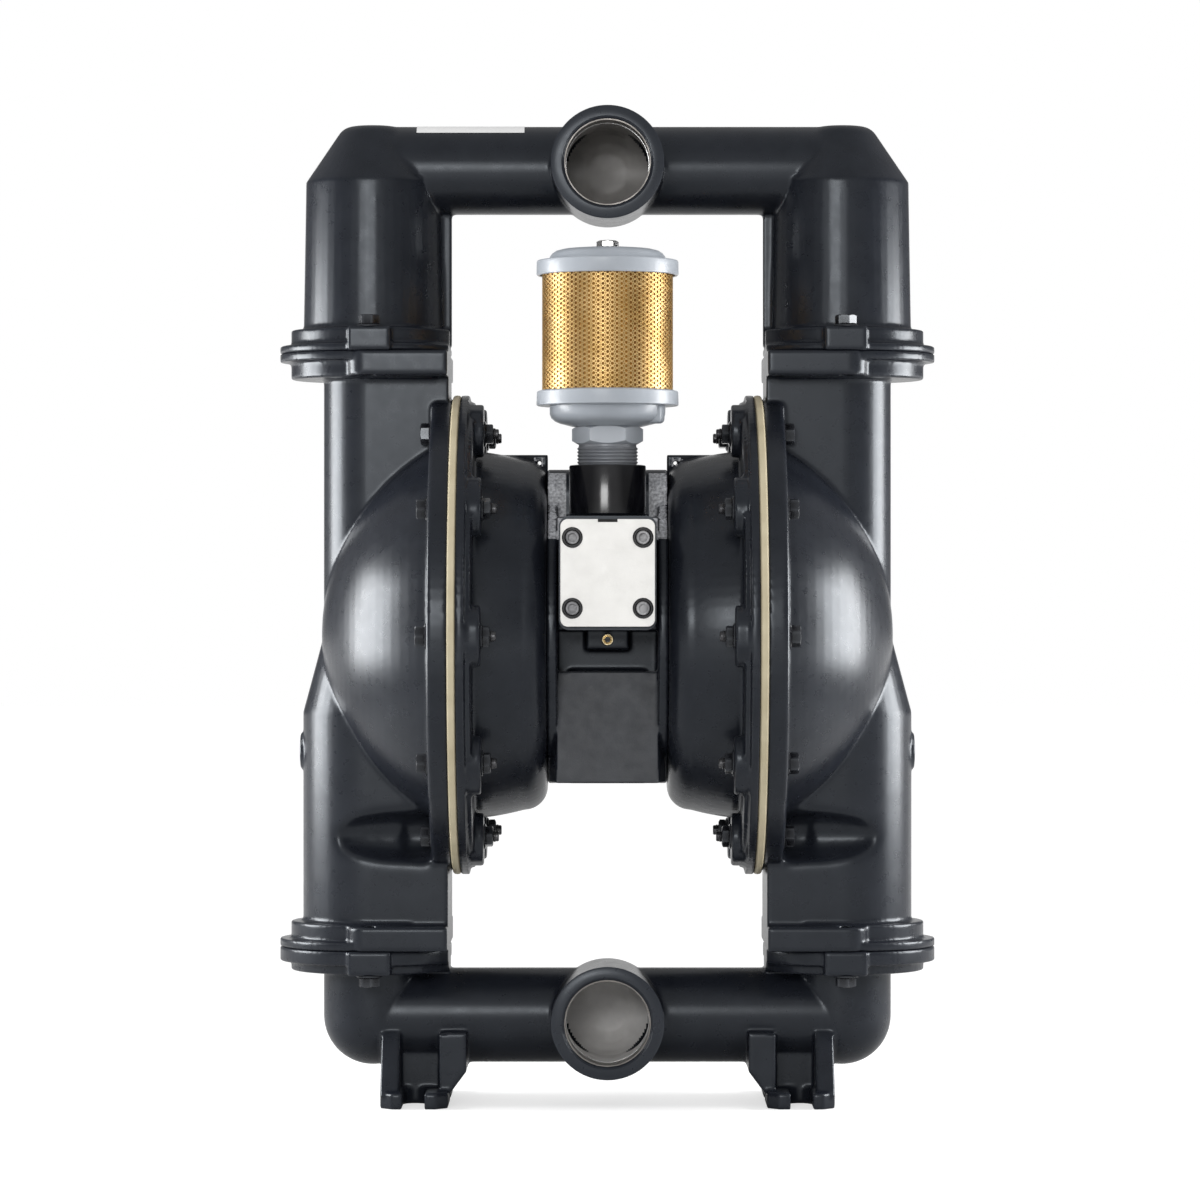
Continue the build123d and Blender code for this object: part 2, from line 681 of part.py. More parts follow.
with BuildPart() as right_foot:
    with BuildSketch(Plane.XY):
        with Locations((foot_mid_x, 0)):
            Rectangle(FOOT_OUT_X - FOOT_IN_X, FOOT_DEPTH)
        chamfer(vertices(), FOOT_CORNER)
        slot_middle = FOOT_DEPTH / 2 - SLOT_LENGTH + SLOT_WIDTH / 2
        for side in (-1, 1):
            with Locations((SLOT_X, side * slot_middle)):
                Circle(SLOT_WIDTH / 2, mode=CUT)
            with Locations((SLOT_X, side * (slot_middle + SLOT_LENGTH / 2))):
                Rectangle(SLOT_WIDTH, SLOT_LENGTH, mode=CUT)
    extrude(amount=FOOT_PLATE)
    with BuildSketch(Plane.XY):
        with Locations((foot_mid_x, 0)):
            Rectangle(FOOT_OUT_X - FOOT_IN_X, FOOT_DEPTH - 2 * SLOT_LENGTH - 2 * FOOT_CORNER)
    extrude(amount=FOOT_RELIEF, mode=CUT)
    # Gussets beside the slots: the outer one upright, the inner one leaning in
    with BuildSketch(Plane.YZ.offset(FOOT_OUT_X)):
        with BuildLine():
            Polyline(
                (-gusset_foot_y, FOOT_PLATE - FOOT_RELIEF),
                (gusset_foot_y, FOOT_PLATE - FOOT_RELIEF),
                (gusset_top_y, GUSSET_TOP_Z),
                (-gusset_top_y, GUSSET_TOP_Z),
                close=True,
            )
        make_face()
    extrude(amount=-GUSSET_THICK)
    with BuildSketch(Plane.XZ):
        with BuildLine():
            Polyline(
                (FOOT_IN_X, FOOT_PLATE - FOOT_RELIEF),
                (GUSSET_IN_X, FOOT_PLATE + GUSSET_THICK),
                (GUSSET_IN_X, GUSSET_TOP_Z),
                (GUSSET_IN_X + GUSSET_THICK, GUSSET_TOP_Z),
                (FOOT_IN_X + GUSSET_THICK, FOOT_PLATE - FOOT_RELIEF),
                close=True,
            )
        make_face()
    extrude(amount=gusset_top_y + GUSSET_THICK, both=True)
    # Pedestal under the tube
    with BuildSketch(Plane.XY.offset(FOOT_RELIEF)):
        with Locations(((FOOT_OUT_X + GUSSET_IN_X + GUSSET_THICK) / 2, 0)):
            Rectangle(FOOT_OUT_X - GUSSET_IN_X - GUSSET_THICK, 2 * FOOT_WEB_HALF)
    extrude(amount=INLET_Z - FOOT_RELIEF)

with BuildPart() as right_elbow:
    with BuildSketch(Plane.XY.offset(INLET_Z)):
        with Locations((LEG_X, 0)):
            Circle(NECK_R)
    extrude(amount=LOWER_JOINT_Z - INLET_Z)
    with Locations((LEG_X, 0, INLET_Z)):
        Sphere(NECK_R)
    with BuildSketch(Plane.XY.offset(LOWER_JOINT_Z)):
        joint_section(LIP_R)
    extrude(amount=-INLET_LIP_THICK)
    with BuildSketch(Plane.XY.offset(LOWER_JOINT_Z)):
        joint_section(STEP_R)
    extrude(amount=-LUG_THICK)
    with BuildSketch(Plane.XY.offset(LOWER_JOINT_Z)):
        with Locations((LEG_X, 0)):
            Rectangle(LUG_WIDTH, 2 * LUG_FACE_Y)
    extrude(amount=-LUG_THICK)

with BuildPart() as inlet_manifold:
    for piece in (right_foot.part, right_elbow.part):
        add(piece)
        mirror(piece, about=Plane.YZ)
    with BuildSketch(Plane.YZ):
        with Locations((0, INLET_Z)):
            Circle(INLET_TUBE_R)
    extrude(amount=LEG_X, both=True)
    add(port_body(INLET_Z))
    # Waterways
    with BuildSketch(Plane.YZ):
        with Locations((0, INLET_Z)):
            Circle(INLET_BORE_R)
    extrude(amount=LEG_X, both=True, mode=CUT)
    for side in (-1, 1):
        with Locations((side * LEG_X, 0, INLET_Z)):
            Sphere(INLET_BORE_R, mode=CUT)
        with BuildSketch(Plane.XY.offset(INLET_Z)):
            with Locations((side * LEG_X, 0)):
                Circle(INLET_BORE_R)
        extrude(amount=LOWER_JOINT_Z - INLET_Z, mode=CUT)
    add(port_bore(INLET_Z, INLET_BORE_R), mode=CUT)
    # Bolt holes
    with BuildSketch(Plane.XY.offset(LOWER_JOINT_Z)):
        with bolt_places():
            Circle(M8_HOLE_R)
        mirror(about=Plane.YZ)
    extrude(amount=-LUG_THICK, mode=CUT)
save(inlet_manifold, "inlet_manifold")

# ---------------------------------------------------------------- diaphragms
arc_start_r = INNER_PLATE_R + CONVOLUTION_RISE / 2
arc_mid_r = (arc_start_r + CHAMBER_R) / 2

with BuildPart() as right_diaphragm:
    with BuildSketch(Plane.XZ):
        with BuildLine():
            Polyline(
                (RIM_IN_X, ROD_Z + CHAMBER_R),
                (RIM_IN_X, ROD_Z + RIM_R),
                (RIM_OUT_X, ROD_Z + RIM_R),
                (RIM_OUT_X, ROD_Z + CHAMBER_R),
            )
            ThreePointArc(
                (RIM_OUT_X, ROD_Z + CHAMBER_R),
                (RIM_OUT_X + CONVOLUTION_RISE, ROD_Z + arc_mid_r),
                (RIM_OUT_X, ROD_Z + arc_start_r),
            )
            Polyline(
                (RIM_OUT_X, ROD_Z + arc_start_r),
                (RIM_OUT_X, ROD_Z + SCREW_R + SCREW_CLEARANCE),
                (RIM_IN_X, ROD_Z + SCREW_R + SCREW_CLEARANCE),
                (RIM_IN_X, ROD_Z + arc_start_r),
            )
            ThreePointArc(
                (RIM_IN_X, ROD_Z + arc_start_r),
                (RIM_IN_X + CONVOLUTION_RISE, ROD_Z + arc_mid_r),
                (RIM_IN_X, ROD_Z + CHAMBER_R),
            )
        make_face()
    revolve(axis=ROD_AXIS)
    with BuildSketch(rod_plane(RIM_IN_X)):
        with rim_bolts():
            Circle(M8_HOLE_R)
    extrude(amount=RIM_THICK, mode=CUT)
save_pair(right_diaphragm, "diaphragm")


def plate(base_x, thick, outer_r, label):
    """Clamping plate on the diaphragm, flat towards it and tapered to its edge."""
    edge_x = base_x + math.copysign(PLATE_EDGE, thick)
    with BuildPart() as disc:
        with BuildSketch(Plane.XZ):
            with BuildLine():
                Polyline(
                    (base_x, ROD_Z + SCREW_R),
                    (base_x, ROD_Z + outer_r),
                    (edge_x, ROD_Z + outer_r),
                    (base_x + thick, ROD_Z + PLATE_FLAT_R),
                    (base_x + thick, ROD_Z + SCREW_R),
                    close=True,
                )
            make_face()
        revolve(axis=ROD_AXIS)
    save_pair(disc, label)


plate(RIM_IN_X - PLATE_GAP, -INNER_PLATE_THICK, INNER_PLATE_R, "inner_plate")
plate(RIM_OUT_X + PLATE_GAP, OUTER_PLATE_THICK, OUTER_PLATE_R, "outer_plate")

screw_face_x = RIM_OUT_X + PLATE_GAP + OUTER_PLATE_THICK
with BuildPart() as right_plate_screw:
    with BuildSketch(rod_plane(screw_face_x)):
        RegularPolygon(SCREW_FLATS / 2, 6, major_radius=False)
    extrude(amount=SCREW_HEAD)
    with BuildSketch(rod_plane(ROD_HALF - ROD_TAP_DEPTH + SCREW_END_GAP)):
        Circle(SCREW_R - SCREW_CLEARANCE)
    extrude(amount=screw_face_x - ROD_HALF + ROD_TAP_DEPTH - SCREW_END_GAP)
save_pair(right_plate_screw, "plate_screw")

# ---------------------------------------------------------------- diaphragm rod and its bearings
with BuildPart() as diaphragm_rod:
    with BuildSketch(rod_plane(-ROD_HALF)):
        Circle(ROD_R)
    extrude(amount=2 * ROD_HALF)
    for side in (-1, 1):
        with BuildSketch(rod_plane(side * ROD_HALF, side)):
            Circle(SCREW_R)
        extrude(amount=-ROD_TAP_DEPTH, mode=CUT)
save(diaphragm_rod, "diaphragm_rod")


def rod_ring(outer_x, length, name):
    """Plain ring round the rod in the centre body's bore."""
    with BuildPart() as ring:
        with BuildSketch(rod_plane(outer_x - length)):
            Circle(BUSH_R - ROD_CLEARANCE)
            Circle(ROD_R + ROD_CLEARANCE, mode=CUT)
        extrude(amount=length)
    save_pair(ring, name)


rod_ring(AIR_CAP_END_X, BUSH_LENGTH, "rod_bush")
rod_ring(AIR_CAP_END_X - BUSH_LENGTH, SEAL_LENGTH, "rod_seal")

# ---------------------------------------------------------------- air caps
round_x = AIR_CAP_END_X + AIR_CAP_ROUND
hollow_x = AIR_CAP_END_X + AIR_CAP_WALL
hollow_side_z = ROD_Z + AIR_CAP_END_R - AIR_CAP_WALL

with BuildPart() as right_air_cap:
    with BuildSketch(Plane.XZ):
        with BuildLine():
            Polyline(
                (AIR_STEP_X, ROD_Z + AIR_CAP_R),
                (AIR_STEP_X, ROD_Z + AIR_STEP_R),
                (AIR_FACE_X, ROD_Z + AIR_STEP_R),
                (AIR_FACE_X, ROD_Z + AIR_FLANGE_R),
                (RIM_IN_X, ROD_Z + AIR_FLANGE_R),
                (RIM_IN_X, ROD_Z + CHAMBER_R),
                (round_x, hollow_side_z),
            )
            RadiusArc(
                (round_x, hollow_side_z),
                (hollow_x, ROD_Z + AIR_CAP_FLAT_R),
                AIR_CAP_WALL - AIR_CAP_ROUND,
            )
            Polyline(
                (hollow_x, ROD_Z + AIR_CAP_FLAT_R),
                (hollow_x, ROD_Z + BUSH_R + AIR_CAP_WALL),
                (AIR_CAP_END_X, ROD_Z + BUSH_R + AIR_CAP_WALL),
                (AIR_CAP_END_X, ROD_Z + AIR_CAP_FLAT_R),
            )
            RadiusArc(
                (AIR_CAP_END_X, ROD_Z + AIR_CAP_FLAT_R),
                (round_x, ROD_Z + AIR_CAP_END_R),
                AIR_CAP_ROUND,
            )
            SagittaArc(
                (round_x, ROD_Z + AIR_CAP_END_R),
                (AIR_STEP_X, ROD_Z + AIR_CAP_R),
                AIR_CAP_CURVE,
            )
        make_face()
    revolve(axis=ROD_AXIS)
    # Thickened pads that carry the rim nuts
    with BuildSketch(rod_plane(BOLT_LUG_X)):
        with PolarLocations(BOLT_LUG_R, BOLT_COUNT):
            SlotOverall(BOLT_LUG_LENGTH, BOLT_LUG_DEPTH, rotation=90)
        Circle(AIR_FLANGE_R, mode=Mode.INTERSECT)
        Circle(AIR_CAP_R - AIR_CAP_CURVE, mode=CUT)
    extrude(amount=BOLT_LUG_THICK)
    # Lifting rib with its open triangle, in the middle plane
    rib_side_x = AIR_CAP_END_X
    with BuildSketch(Plane.XZ):
        with BuildLine():
            Polyline(
                (rib_side_x, ROD_Z + AIR_CAP_FLAT_R),
                (rib_side_x, LIFT_RIB_Z),
                (LIFT_RIB_END_X, LIFT_RIB_Z),
                (LIFT_RIB_END_X, ROD_Z + AIR_CAP_R - AIR_CAP_WALL),
                (round_x, ROD_Z + AIR_CAP_END_R - AIR_CAP_WALL / 2),
                close=True,
            )
        make_face()
        with BuildLine():
            Polyline(
                (rib_side_x + LIFT_RIB_BAR, ROD_Z + AIR_CAP_END_R - AIR_CAP_WALL),
                (rib_side_x + LIFT_RIB_BAR, LIFT_RIB_Z - LIFT_RIB_BAR),
                (LIFT_RIB_END_X - 2 * LIFT_RIB_BAR, LIFT_RIB_Z - LIFT_RIB_BAR),
                close=True,
            )
        make_face(mode=CUT)
    extrude(amount=LIFT_RIB_THICK / 2, both=True)
    # Pilot rod, screws into the centre body and rim bolts
    with BuildSketch(Plane.YZ.offset(AIR_CAP_END_X)):
        with Locations((PILOT_Y, PILOT_Z)):
            Circle(PILOT_SLEEVE_R)
        with Locations((0, ROD_Z)):
            with PolarLocations(AIR_CAP_SCREW_RING_R, AIR_CAP_SCREWS, start_angle=90):
                Circle(M8_HOLE_R)
    extrude(amount=AIR_CAP_WALL, mode=CUT)
    with BuildSketch(rod_plane(BOLT_LUG_X)):
        with rim_bolts():
            Circle(M8_HOLE_R)
    extrude(amount=RIM_IN_X - BOLT_LUG_X, mode=CUT)
save_pair(right_air_cap, "air_cap")

# ---------------------------------------------------------------- centre body
with BuildPart() as center_body:
    for side in (-1, 1):
        with BuildSketch(rod_plane(side * AIR_CAP_END_X, side)):
            Circle(END_DISC_R)
        extrude(amount=-END_DISC_THICK)
    with BuildSketch(Plane.YZ):
        with Locations((BODY_BACK_Y, BODY_BOTTOM_Z)):
            Rectangle(
                BODY_BACK_Y + BODY_FRONT_Y,
                BODY_TOP_Z - BODY_BOTTOM_Z,
                align=(Align.MAX, Align.MIN),
            )
        fillet(vertices(), BODY_ROUND)
        with Locations((-VALVE_PAD_Y, VALVE_Z)):
            Rectangle(VALVE_PAD_Y, VALVE_BLOCK_HEIGHT, align=(Align.MIN, Align.CENTER))
    extrude(amount=BODY_HALF_X, both=True)
    # Shoulders that close the top against the air caps
    with BuildSketch(Plane.YZ):
        with Locations((BODY_BACK_Y, BODY_TOP_Z)):
            Rectangle(BODY_BACK_Y + BODY_FRONT_Y, SHOULDER_DEPTH, align=(Align.MAX, Align.MAX))
        fillet(vertices(), BODY_ROUND)
    extrude(amount=AIR_CAP_END_X, both=True)
    # Flat-fronted block below, its top corners cut off
    with BuildSketch(front_plane(-LOWER_BLOCK_Y)):
        with Locations((0, LOWER_BLOCK_BOTTOM_Z)):
            Rectangle(
                2 * BODY_HALF_X,
                LOWER_BLOCK_TOP_Z - LOWER_BLOCK_BOTTOM_Z,
                align=(Align.CENTER, Align.MIN),
            )
        chamfer(vertices().group_by(Axis.Z)[-1], LOWER_BLOCK_CHAMFER)
    extrude(amount=-LOWER_BLOCK_Y)
    # Earth screw's tab, hanging from the valve pad
    with BuildSketch(front_plane(-EARTH_TAB_Y)):
        with Locations((0, VALVE_Z - VALVE_BLOCK_HEIGHT / 2)):
            Rectangle(EARTH_TAB_WIDTH, EARTH_TAB_HEIGHT, align=(Align.CENTER, Align.MAX))
    extrude(amount=-(EARTH_TAB_Y - BODY_FRONT_Y))
    # Exhaust boss
    with BuildSketch(Plane.XY.offset(BOSS_BOTTOM_Z)):
        with Locations((0, -BOSS_Y)):
            Circle(BOSS_R)
    extrude(amount=BOSS_TOP_Z - BOSS_BOTTOM_Z)
    # Rod bore with bush seats, and the pilot rod's bore
    with BuildSketch(Plane.YZ):
        with Locations((0, ROD_Z)):
            Circle(ROD_R + ROD_RELIEF)
        with Locations((PILOT_Y, PILOT_Z)):
            Circle(PILOT_SLEEVE_R)
    extrude(amount=AIR_CAP_END_X, both=True, mode=CUT)
    for side in (-1, 1):
        with BuildSketch(rod_plane(side * AIR_CAP_END_X, side)):
            Circle(BUSH_R)
        extrude(amount=-BUSH_LENGTH - SEAL_LENGTH, mode=CUT)
        with BuildSketch(Plane.YZ.offset(side * AIR_CAP_END_X)):
            with Locations((0, ROD_Z)):
                with PolarLocations(AIR_CAP_SCREW_RING_R, AIR_CAP_SCREWS, start_angle=90):
                    Circle(M8_R + M8_NUT_CLEARANCE)
        extrude(amount=-side * AIR_CAP_SCREW_LENGTH, mode=CUT)
    # Air inlet in the back
    with BuildSketch(front_plane(BODY_BACK_Y, AIR_INLET_Z)):
        Circle(AIR_INLET_R)
    extrude(amount=AIR_INLET_LENGTH, mode=CUT)
    with BuildSketch(front_plane(BODY_BACK_Y, AIR_INLET_Z)):
        Circle(AIR_DUCT_R)
    extrude(amount=AIR_DUCT_LENGTH, mode=CUT)
    # Exhaust way down from the muffler's thread
    with BuildSketch(Plane.XY.offset(BOSS_TOP_Z)):
        with Locations((0, -BOSS_Y)):
            Circle(MUFFLER_THREAD_R + MUFFLER_THREAD_CLEARANCE)
    extrude(amount=-BOSS_THREAD_DEPTH, mode=CUT)
    with BuildSketch(Plane.XY.offset(BOSS_TOP_Z)):
        with Locations((0, -BOSS_Y)):
            Circle(EXHAUST_R)
    extrude(amount=-(BOSS_TOP_Z - BOSS_BOTTOM_Z) + MUFFLER_RIM_HEIGHT, mode=CUT)
    # Holes for the valve cover's screws and the earth screw
    with BuildSketch(front_plane(-VALVE_PAD_Y, VALVE_Z)):
        Circle(VALVE_PORT_R)
    extrude(amount=-VALVE_PAD_Y / 4, mode=CUT)
    with BuildSketch(front_plane(-EARTH_TAB_Y, VALVE_Z - (VALVE_BLOCK_HEIGHT + EARTH_TAB_HEIGHT) / 2)):
        Circle(EARTH_SCREW_R + M8_NUT_CLEARANCE)
    extrude(amount=-(EARTH_TAB_Y - BODY_FRONT_Y), mode=CUT)
save(center_body, "center_body")

with BuildPart() as earth_screw:
    with BuildSketch(front_plane(-EARTH_TAB_Y, VALVE_Z - (VALVE_BLOCK_HEIGHT + EARTH_TAB_HEIGHT) / 2)):
        Circle(EARTH_SCREW_HEAD_R)
    extrude(amount=EARTH_SCREW_HEAD)
    with BuildSketch(front_plane(-EARTH_TAB_Y, VALVE_Z - (VALVE_BLOCK_HEIGHT + EARTH_TAB_HEIGHT) / 2)):
        Circle(EARTH_SCREW_R)
    extrude(amount=-(EARTH_TAB_Y - BODY_FRONT_Y - CUT_MARGIN))
save(earth_screw, "earth_screw")

# ---------------------------------------------------------------- pilot rod
with BuildPart() as pilot_sleeve:
    with BuildSketch(Plane.YZ):
        with Locations((PILOT_Y, PILOT_Z)):
            Circle(PILOT_SLEEVE_R - ROD_CLEARANCE)
            Circle(PILOT_R + ROD_CLEARANCE, mode=CUT)
    extrude(amount=AIR_CAP_END_X + AIR_CAP_WALL, both=True)
save(pilot_sleeve, "pilot_sleeve")

with BuildPart() as pilot_rod:
    with BuildSketch(Plane.YZ):
        with Locations((PILOT_Y, PILOT_Z)):
            Circle(PILOT_R)
    extrude(amount=PILOT_REACH, both=True)
save(pilot_rod, "pilot_rod")

# ---------------------------------------------------------------- air valve
spool_room = SPOOL_LENGTH / 2 + SPOOL_TRAVEL + SPOOL_END_ROOM
channel_r = SPOOL_R + SPOOL_CLEARANCE
window_length = INSERT_LENGTH + 2 * (SPOOL_TRAVEL + SPOOL_END_ROOM)
insert_back_y = BLOCK_BACK_Y - VALVE_PLATE_THICK - INSERT_CLEARANCE
insert_front_y = SPOOL_Y + SPOOL_R / 4


def cover_screw_places():
    """Corners of the valve cover's screw square."""
    return GridLocations(COVER_SCREW_PITCH, COVER_SCREW_PITCH, 2, 2)


with BuildPart() as valve_block:
    with BuildSketch(front_plane(BLOCK_BACK_Y, VALVE_Z)):
        RectangleRounded(VALVE_BLOCK_WIDTH, VALVE_BLOCK_HEIGHT, VALVE_BLOCK_ROUND)
    extrude(amount=VALVE_BLOCK_DEPTH)
    # Channel of the spool, open to the front
    with BuildSketch(Plane.YZ):
        with Locations((SPOOL_Y, VALVE_Z)):
            Circle(channel_r)
        with Locations((BLOCK_FRONT_Y, VALVE_Z)):
            Rectangle(SPOOL_DEPTH, 2 * channel_r, align=(Align.MIN, Align.CENTER))
    extrude(amount=spool_room, both=True, mode=CUT)
    # Window of the insert and the recess of the valve plate behind it
    with BuildSketch(front_plane(BLOCK_BACK_Y, VALVE_Z)):
        Rectangle(window_length, INSERT_HEIGHT + 2 * INSERT_CLEARANCE)
    extrude(amount=VALVE_BLOCK_DEPTH - SPOOL_DEPTH, mode=CUT)
    with BuildSketch(front_plane(BLOCK_BACK_Y, VALVE_Z)):
        Rectangle(VALVE_PLATE_LENGTH + 2 * INSERT_CLEARANCE, VALVE_PLATE_HEIGHT + 2 * INSERT_CLEARANCE)
    extrude(amount=VALVE_PLATE_THICK, mode=CUT)
    with BuildSketch(front_plane(BLOCK_FRONT_Y, VALVE_Z)):
        with cover_screw_places():
            Circle(COVER_SCREW_R + M8_NUT_CLEARANCE)
    extrude(amount=-COVER_SCREW_LENGTH, mode=CUT)
save(valve_block, "valve_block")

with BuildPart() as valve_block_gasket:
    with BuildSketch(front_plane(-VALVE_PAD_Y, VALVE_Z)):
        RectangleRounded(VALVE_BLOCK_WIDTH, VALVE_BLOCK_HEIGHT, VALVE_BLOCK_ROUND)
        with GridLocations(VALVE_PORT_PITCH, 0, 3, 1):
            Circle(VALVE_PORT_R, mode=CUT)
    extrude(amount=VALVE_GASKET)
save(valve_block_gasket, "valve_block_gasket")

with BuildPart() as valve_plate:
    with BuildSketch(front_plane(BLOCK_BACK_Y, VALVE_Z)):
        Rectangle(VALVE_PLATE_LENGTH, VALVE_PLATE_HEIGHT)
        with GridLocations(VALVE_PORT_PITCH, 0, 3, 1):
            Circle(VALVE_PORT_R, mode=CUT)
    extrude(amount=VALVE_PLATE_THICK)
save(valve_plate, "valve_plate")

with BuildPart() as valve_spool:
    with BuildSketch(Plane.YZ):
        with Locations((SPOOL_Y, VALVE_Z)):
            Circle(SPOOL_R)
    extrude(amount=SPOOL_LENGTH / 2, both=True)
    # Seal grooves near both ends, and the pocket of the insert
    for side in (-1, 1):
        with BuildSketch(Plane.YZ.offset(side * (SPOOL_LENGTH / 2 - 3 * SPOOL_GROOVE))):
            with Locations((SPOOL_Y, VALVE_Z)):
                Circle(SPOOL_R)
                Circle(SPOOL_R - SPOOL_GROOVE, mode=CUT)
        extrude(amount=side * SPOOL_GROOVE, mode=CUT)
    with BuildSketch(front_plane(SPOOL_Y + SPOOL_R, VALVE_Z)):
        Rectangle(INSERT_LENGTH + 2 * INSERT_CLEARANCE, 2 * SPOOL_R)
    extrude(amount=SPOOL_R * 3 / 4, mode=CUT)
save(valve_spool, "valve_spool")

with BuildPart() as valve_insert:
    with BuildSketch(front_plane(insert_back_y, VALVE_Z)):
        Rectangle(INSERT_LENGTH, INSERT_HEIGHT)
    extrude(amount=insert_back_y - insert_front_y)
    with BuildSketch(front_plane(insert_back_y, VALVE_Z)):
        SlotOverall(INSERT_LENGTH - INSERT_CUP, INSERT_HEIGHT / 2)
    extrude(amount=INSERT_CUP, mode=CUT)
save(valve_insert, "valve_insert")

with BuildPart() as valve_cover_gasket:
    with BuildSketch(front_plane(BLOCK_FRONT_Y, VALVE_Z)):
        RectangleRounded(COVER_WIDTH, COVER_HEIGHT, COVER_ROUND)
        with cover_screw_places():
            Circle(COVER_SCREW_R + M8_NUT_CLEARANCE, mode=CUT)
    extrude(amount=VALVE_GASKET)
save(valve_cover_gasket, "valve_cover_gasket")

with BuildPart() as valve_cover_plate:
    with BuildSketch(front_plane(COVER_BACK_Y, VALVE_Z)):
        RectangleRounded(COVER_WIDTH, COVER_HEIGHT, COVER_ROUND)
        with Locations((0, COVER_HEIGHT / 2)):
            Rectangle(COVER_NOTCH_WIDTH, 2 * COVER_NOTCH_DEPTH, mode=CUT)
        with cover_screw_places():
            Circle(COVER_SCREW_R + M8_NUT_CLEARANCE, mode=CUT)
    extrude(amount=COVER_THICK)
    front_rim = faces().sort_by(Axis.Y)[0].outer_wire().edges()
    fillet(front_rim, COVER_NOTCH_DEPTH / 4)
save(valve_cover_plate, "valve_cover_plate")

with BuildPart() as valve_cover_screws:
    with BuildSketch(front_plane(COVER_FRONT_Y, VALVE_Z)):
        with cover_screw_places():
            Circle(COVER_SCREW_HEAD_R)
            RegularPolygon(COVER_SCREW_R, 6, major_radius=False, mode=CUT)
    extrude(amount=COVER_SCREW_HEAD)
    with BuildSketch(front_plane(COVER_FRONT_Y, VALVE_Z)):
        with cover_screw_places():
            Circle(COVER_SCREW_HEAD_R)
    extrude(amount=COVER_SCREW_HEAD / 3)
    with BuildSketch(front_plane(COVER_FRONT_Y, VALVE_Z)):
        with cover_screw_places():
            Circle(COVER_SCREW_R)
    extrude(amount=-COVER_SCREW_LENGTH)
save(valve_cover_screws, "valve_cover_screws")

# ---------------------------------------------------------------- muffler
tie_bar_top_z = MUFFLER_RIM_Z
tie_bar_z = MUFFLER_HEX_Z + MUFFLER_HEX_HEIGHT
muffler_cap_top_z = MUFFLER_CAP_Z + MUFFLER_CAP_HEIGHT
screen_z = MUFFLER_RIM_Z + MUFFLER_RIM_HEIGHT - SCREEN_SEAT
screen_top_z = MUFFLER_CAP_Z + SCREEN_SEAT

with BuildPart() as muffler_base:
    with BuildSketch(Plane.XY.offset(BOSS_TOP_Z - BOSS_THREAD_DEPTH)):
        with Locations((0, -BOSS_Y)):
            Circle(MUFFLER_THREAD_R)
    extrude(amount=MUFFLER_HEX_Z - BOSS_TOP_Z + BOSS_THREAD_DEPTH)
    with BuildSketch(Plane.XY.offset(MUFFLER_HEX_Z)):
        with Locations((0, -BOSS_Y)):
            RegularPolygon(MUFFLER_HEX_FLATS / 2, 6, major_radius=False, rotation=180 / 6)
    extrude(amount=MUFFLER_HEX_HEIGHT)
    # Bowl and rim that hold the screen
    with BuildSketch(Plane.XZ.offset(BOSS_Y)):
        with BuildLine():
            Polyline(
                (0, tie_bar_z),
                (MUFFLER_BOWL_FOOT_R, tie_bar_z),
                (MUFFLER_BOWL_R, MUFFLER_RIM_Z),
                (MUFFLER_RIM_R, MUFFLER_RIM_Z),
                (MUFFLER_RIM_R, MUFFLER_RIM_Z + MUFFLER_RIM_HEIGHT),
                (SCREEN_R + TIE_ROD_CLEARANCE, MUFFLER_RIM_Z + MUFFLER_RIM_HEIGHT),
                (SCREEN_R + TIE_ROD_CLEARANCE, screen_z),
                (0, screen_z),
                close=True,
            )
        make_face()
    revolve(axis=MUFFLER_AXIS)
    # Drain lug under the rim, beside the bowl
    drain_plane = Plane((0, -BOSS_Y, MUFFLER_RIM_Z)).rotated((0, 0, DRAIN_LUG_ANGLE))
    with BuildSketch(drain_plane):
        with Locations((DRAIN_LUG_REACH, 0)):
            Rectangle(
                DRAIN_LUG_REACH - MUFFLER_BOWL_FOOT_R,
                DRAIN_LUG_WIDTH,
                align=(Align.MAX, Align.CENTER),
            )
            lug_corners = vertices().sort_by_distance((0, -BOSS_Y, MUFFLER_RIM_Z))[-2:]
        fillet(lug_corners, DRAIN_LUG_ROUND)
    extrude(amount=-DRAIN_LUG_HEIGHT)
    with BuildSketch(Plane.XY.offset(BOSS_TOP_Z - BOSS_THREAD_DEPTH)):
        with Locations((0, -BOSS_Y)):
            Circle(EXHAUST_R)
    extrude(amount=tie_bar_top_z - BOSS_TOP_Z + BOSS_THREAD_DEPTH - TIE_BAR, mode=CUT)
    with BuildSketch(Plane.XY.offset(tie_bar_top_z - TIE_BAR)):
        with Locations((0, -BOSS_Y)):
            Circle(EXHAUST_R)
            Rectangle(2 * EXHAUST_R, TIE_BAR, mode=CUT)
    extrude(amount=screen_z - tie_bar_top_z + TIE_BAR, mode=CUT)
    with BuildSketch(Plane.XY.offset(tie_bar_top_z - TIE_BAR)):
        with Locations((0, -BOSS_Y)):
            Circle(TIE_ROD_R + TIE_ROD_CLEARANCE)
    extrude(amount=screen_z - tie_bar_top_z + TIE_BAR, mode=CUT)
save(muffler_base, "muffler_base")


def muffler_ring(outer_r, inner_r, low_z, high_z, label):
    """Tube of the muffler between two heights."""
    with BuildPart() as tube:
        with BuildSketch(Plane.XY.offset(low_z)):
            with Locations((0, -BOSS_Y)):
                Circle(outer_r)
                Circle(inner_r, mode=CUT)
        extrude(amount=high_z - low_z)
    save(tube, label)


muffler_ring(SCREEN_R, SCREEN_R - SCREEN_THICK, screen_z, screen_top_z, "muffler_screen")
muffler_ring(ELEMENT_R, ELEMENT_BORE_R, screen_z, screen_top_z, "muffler_element")

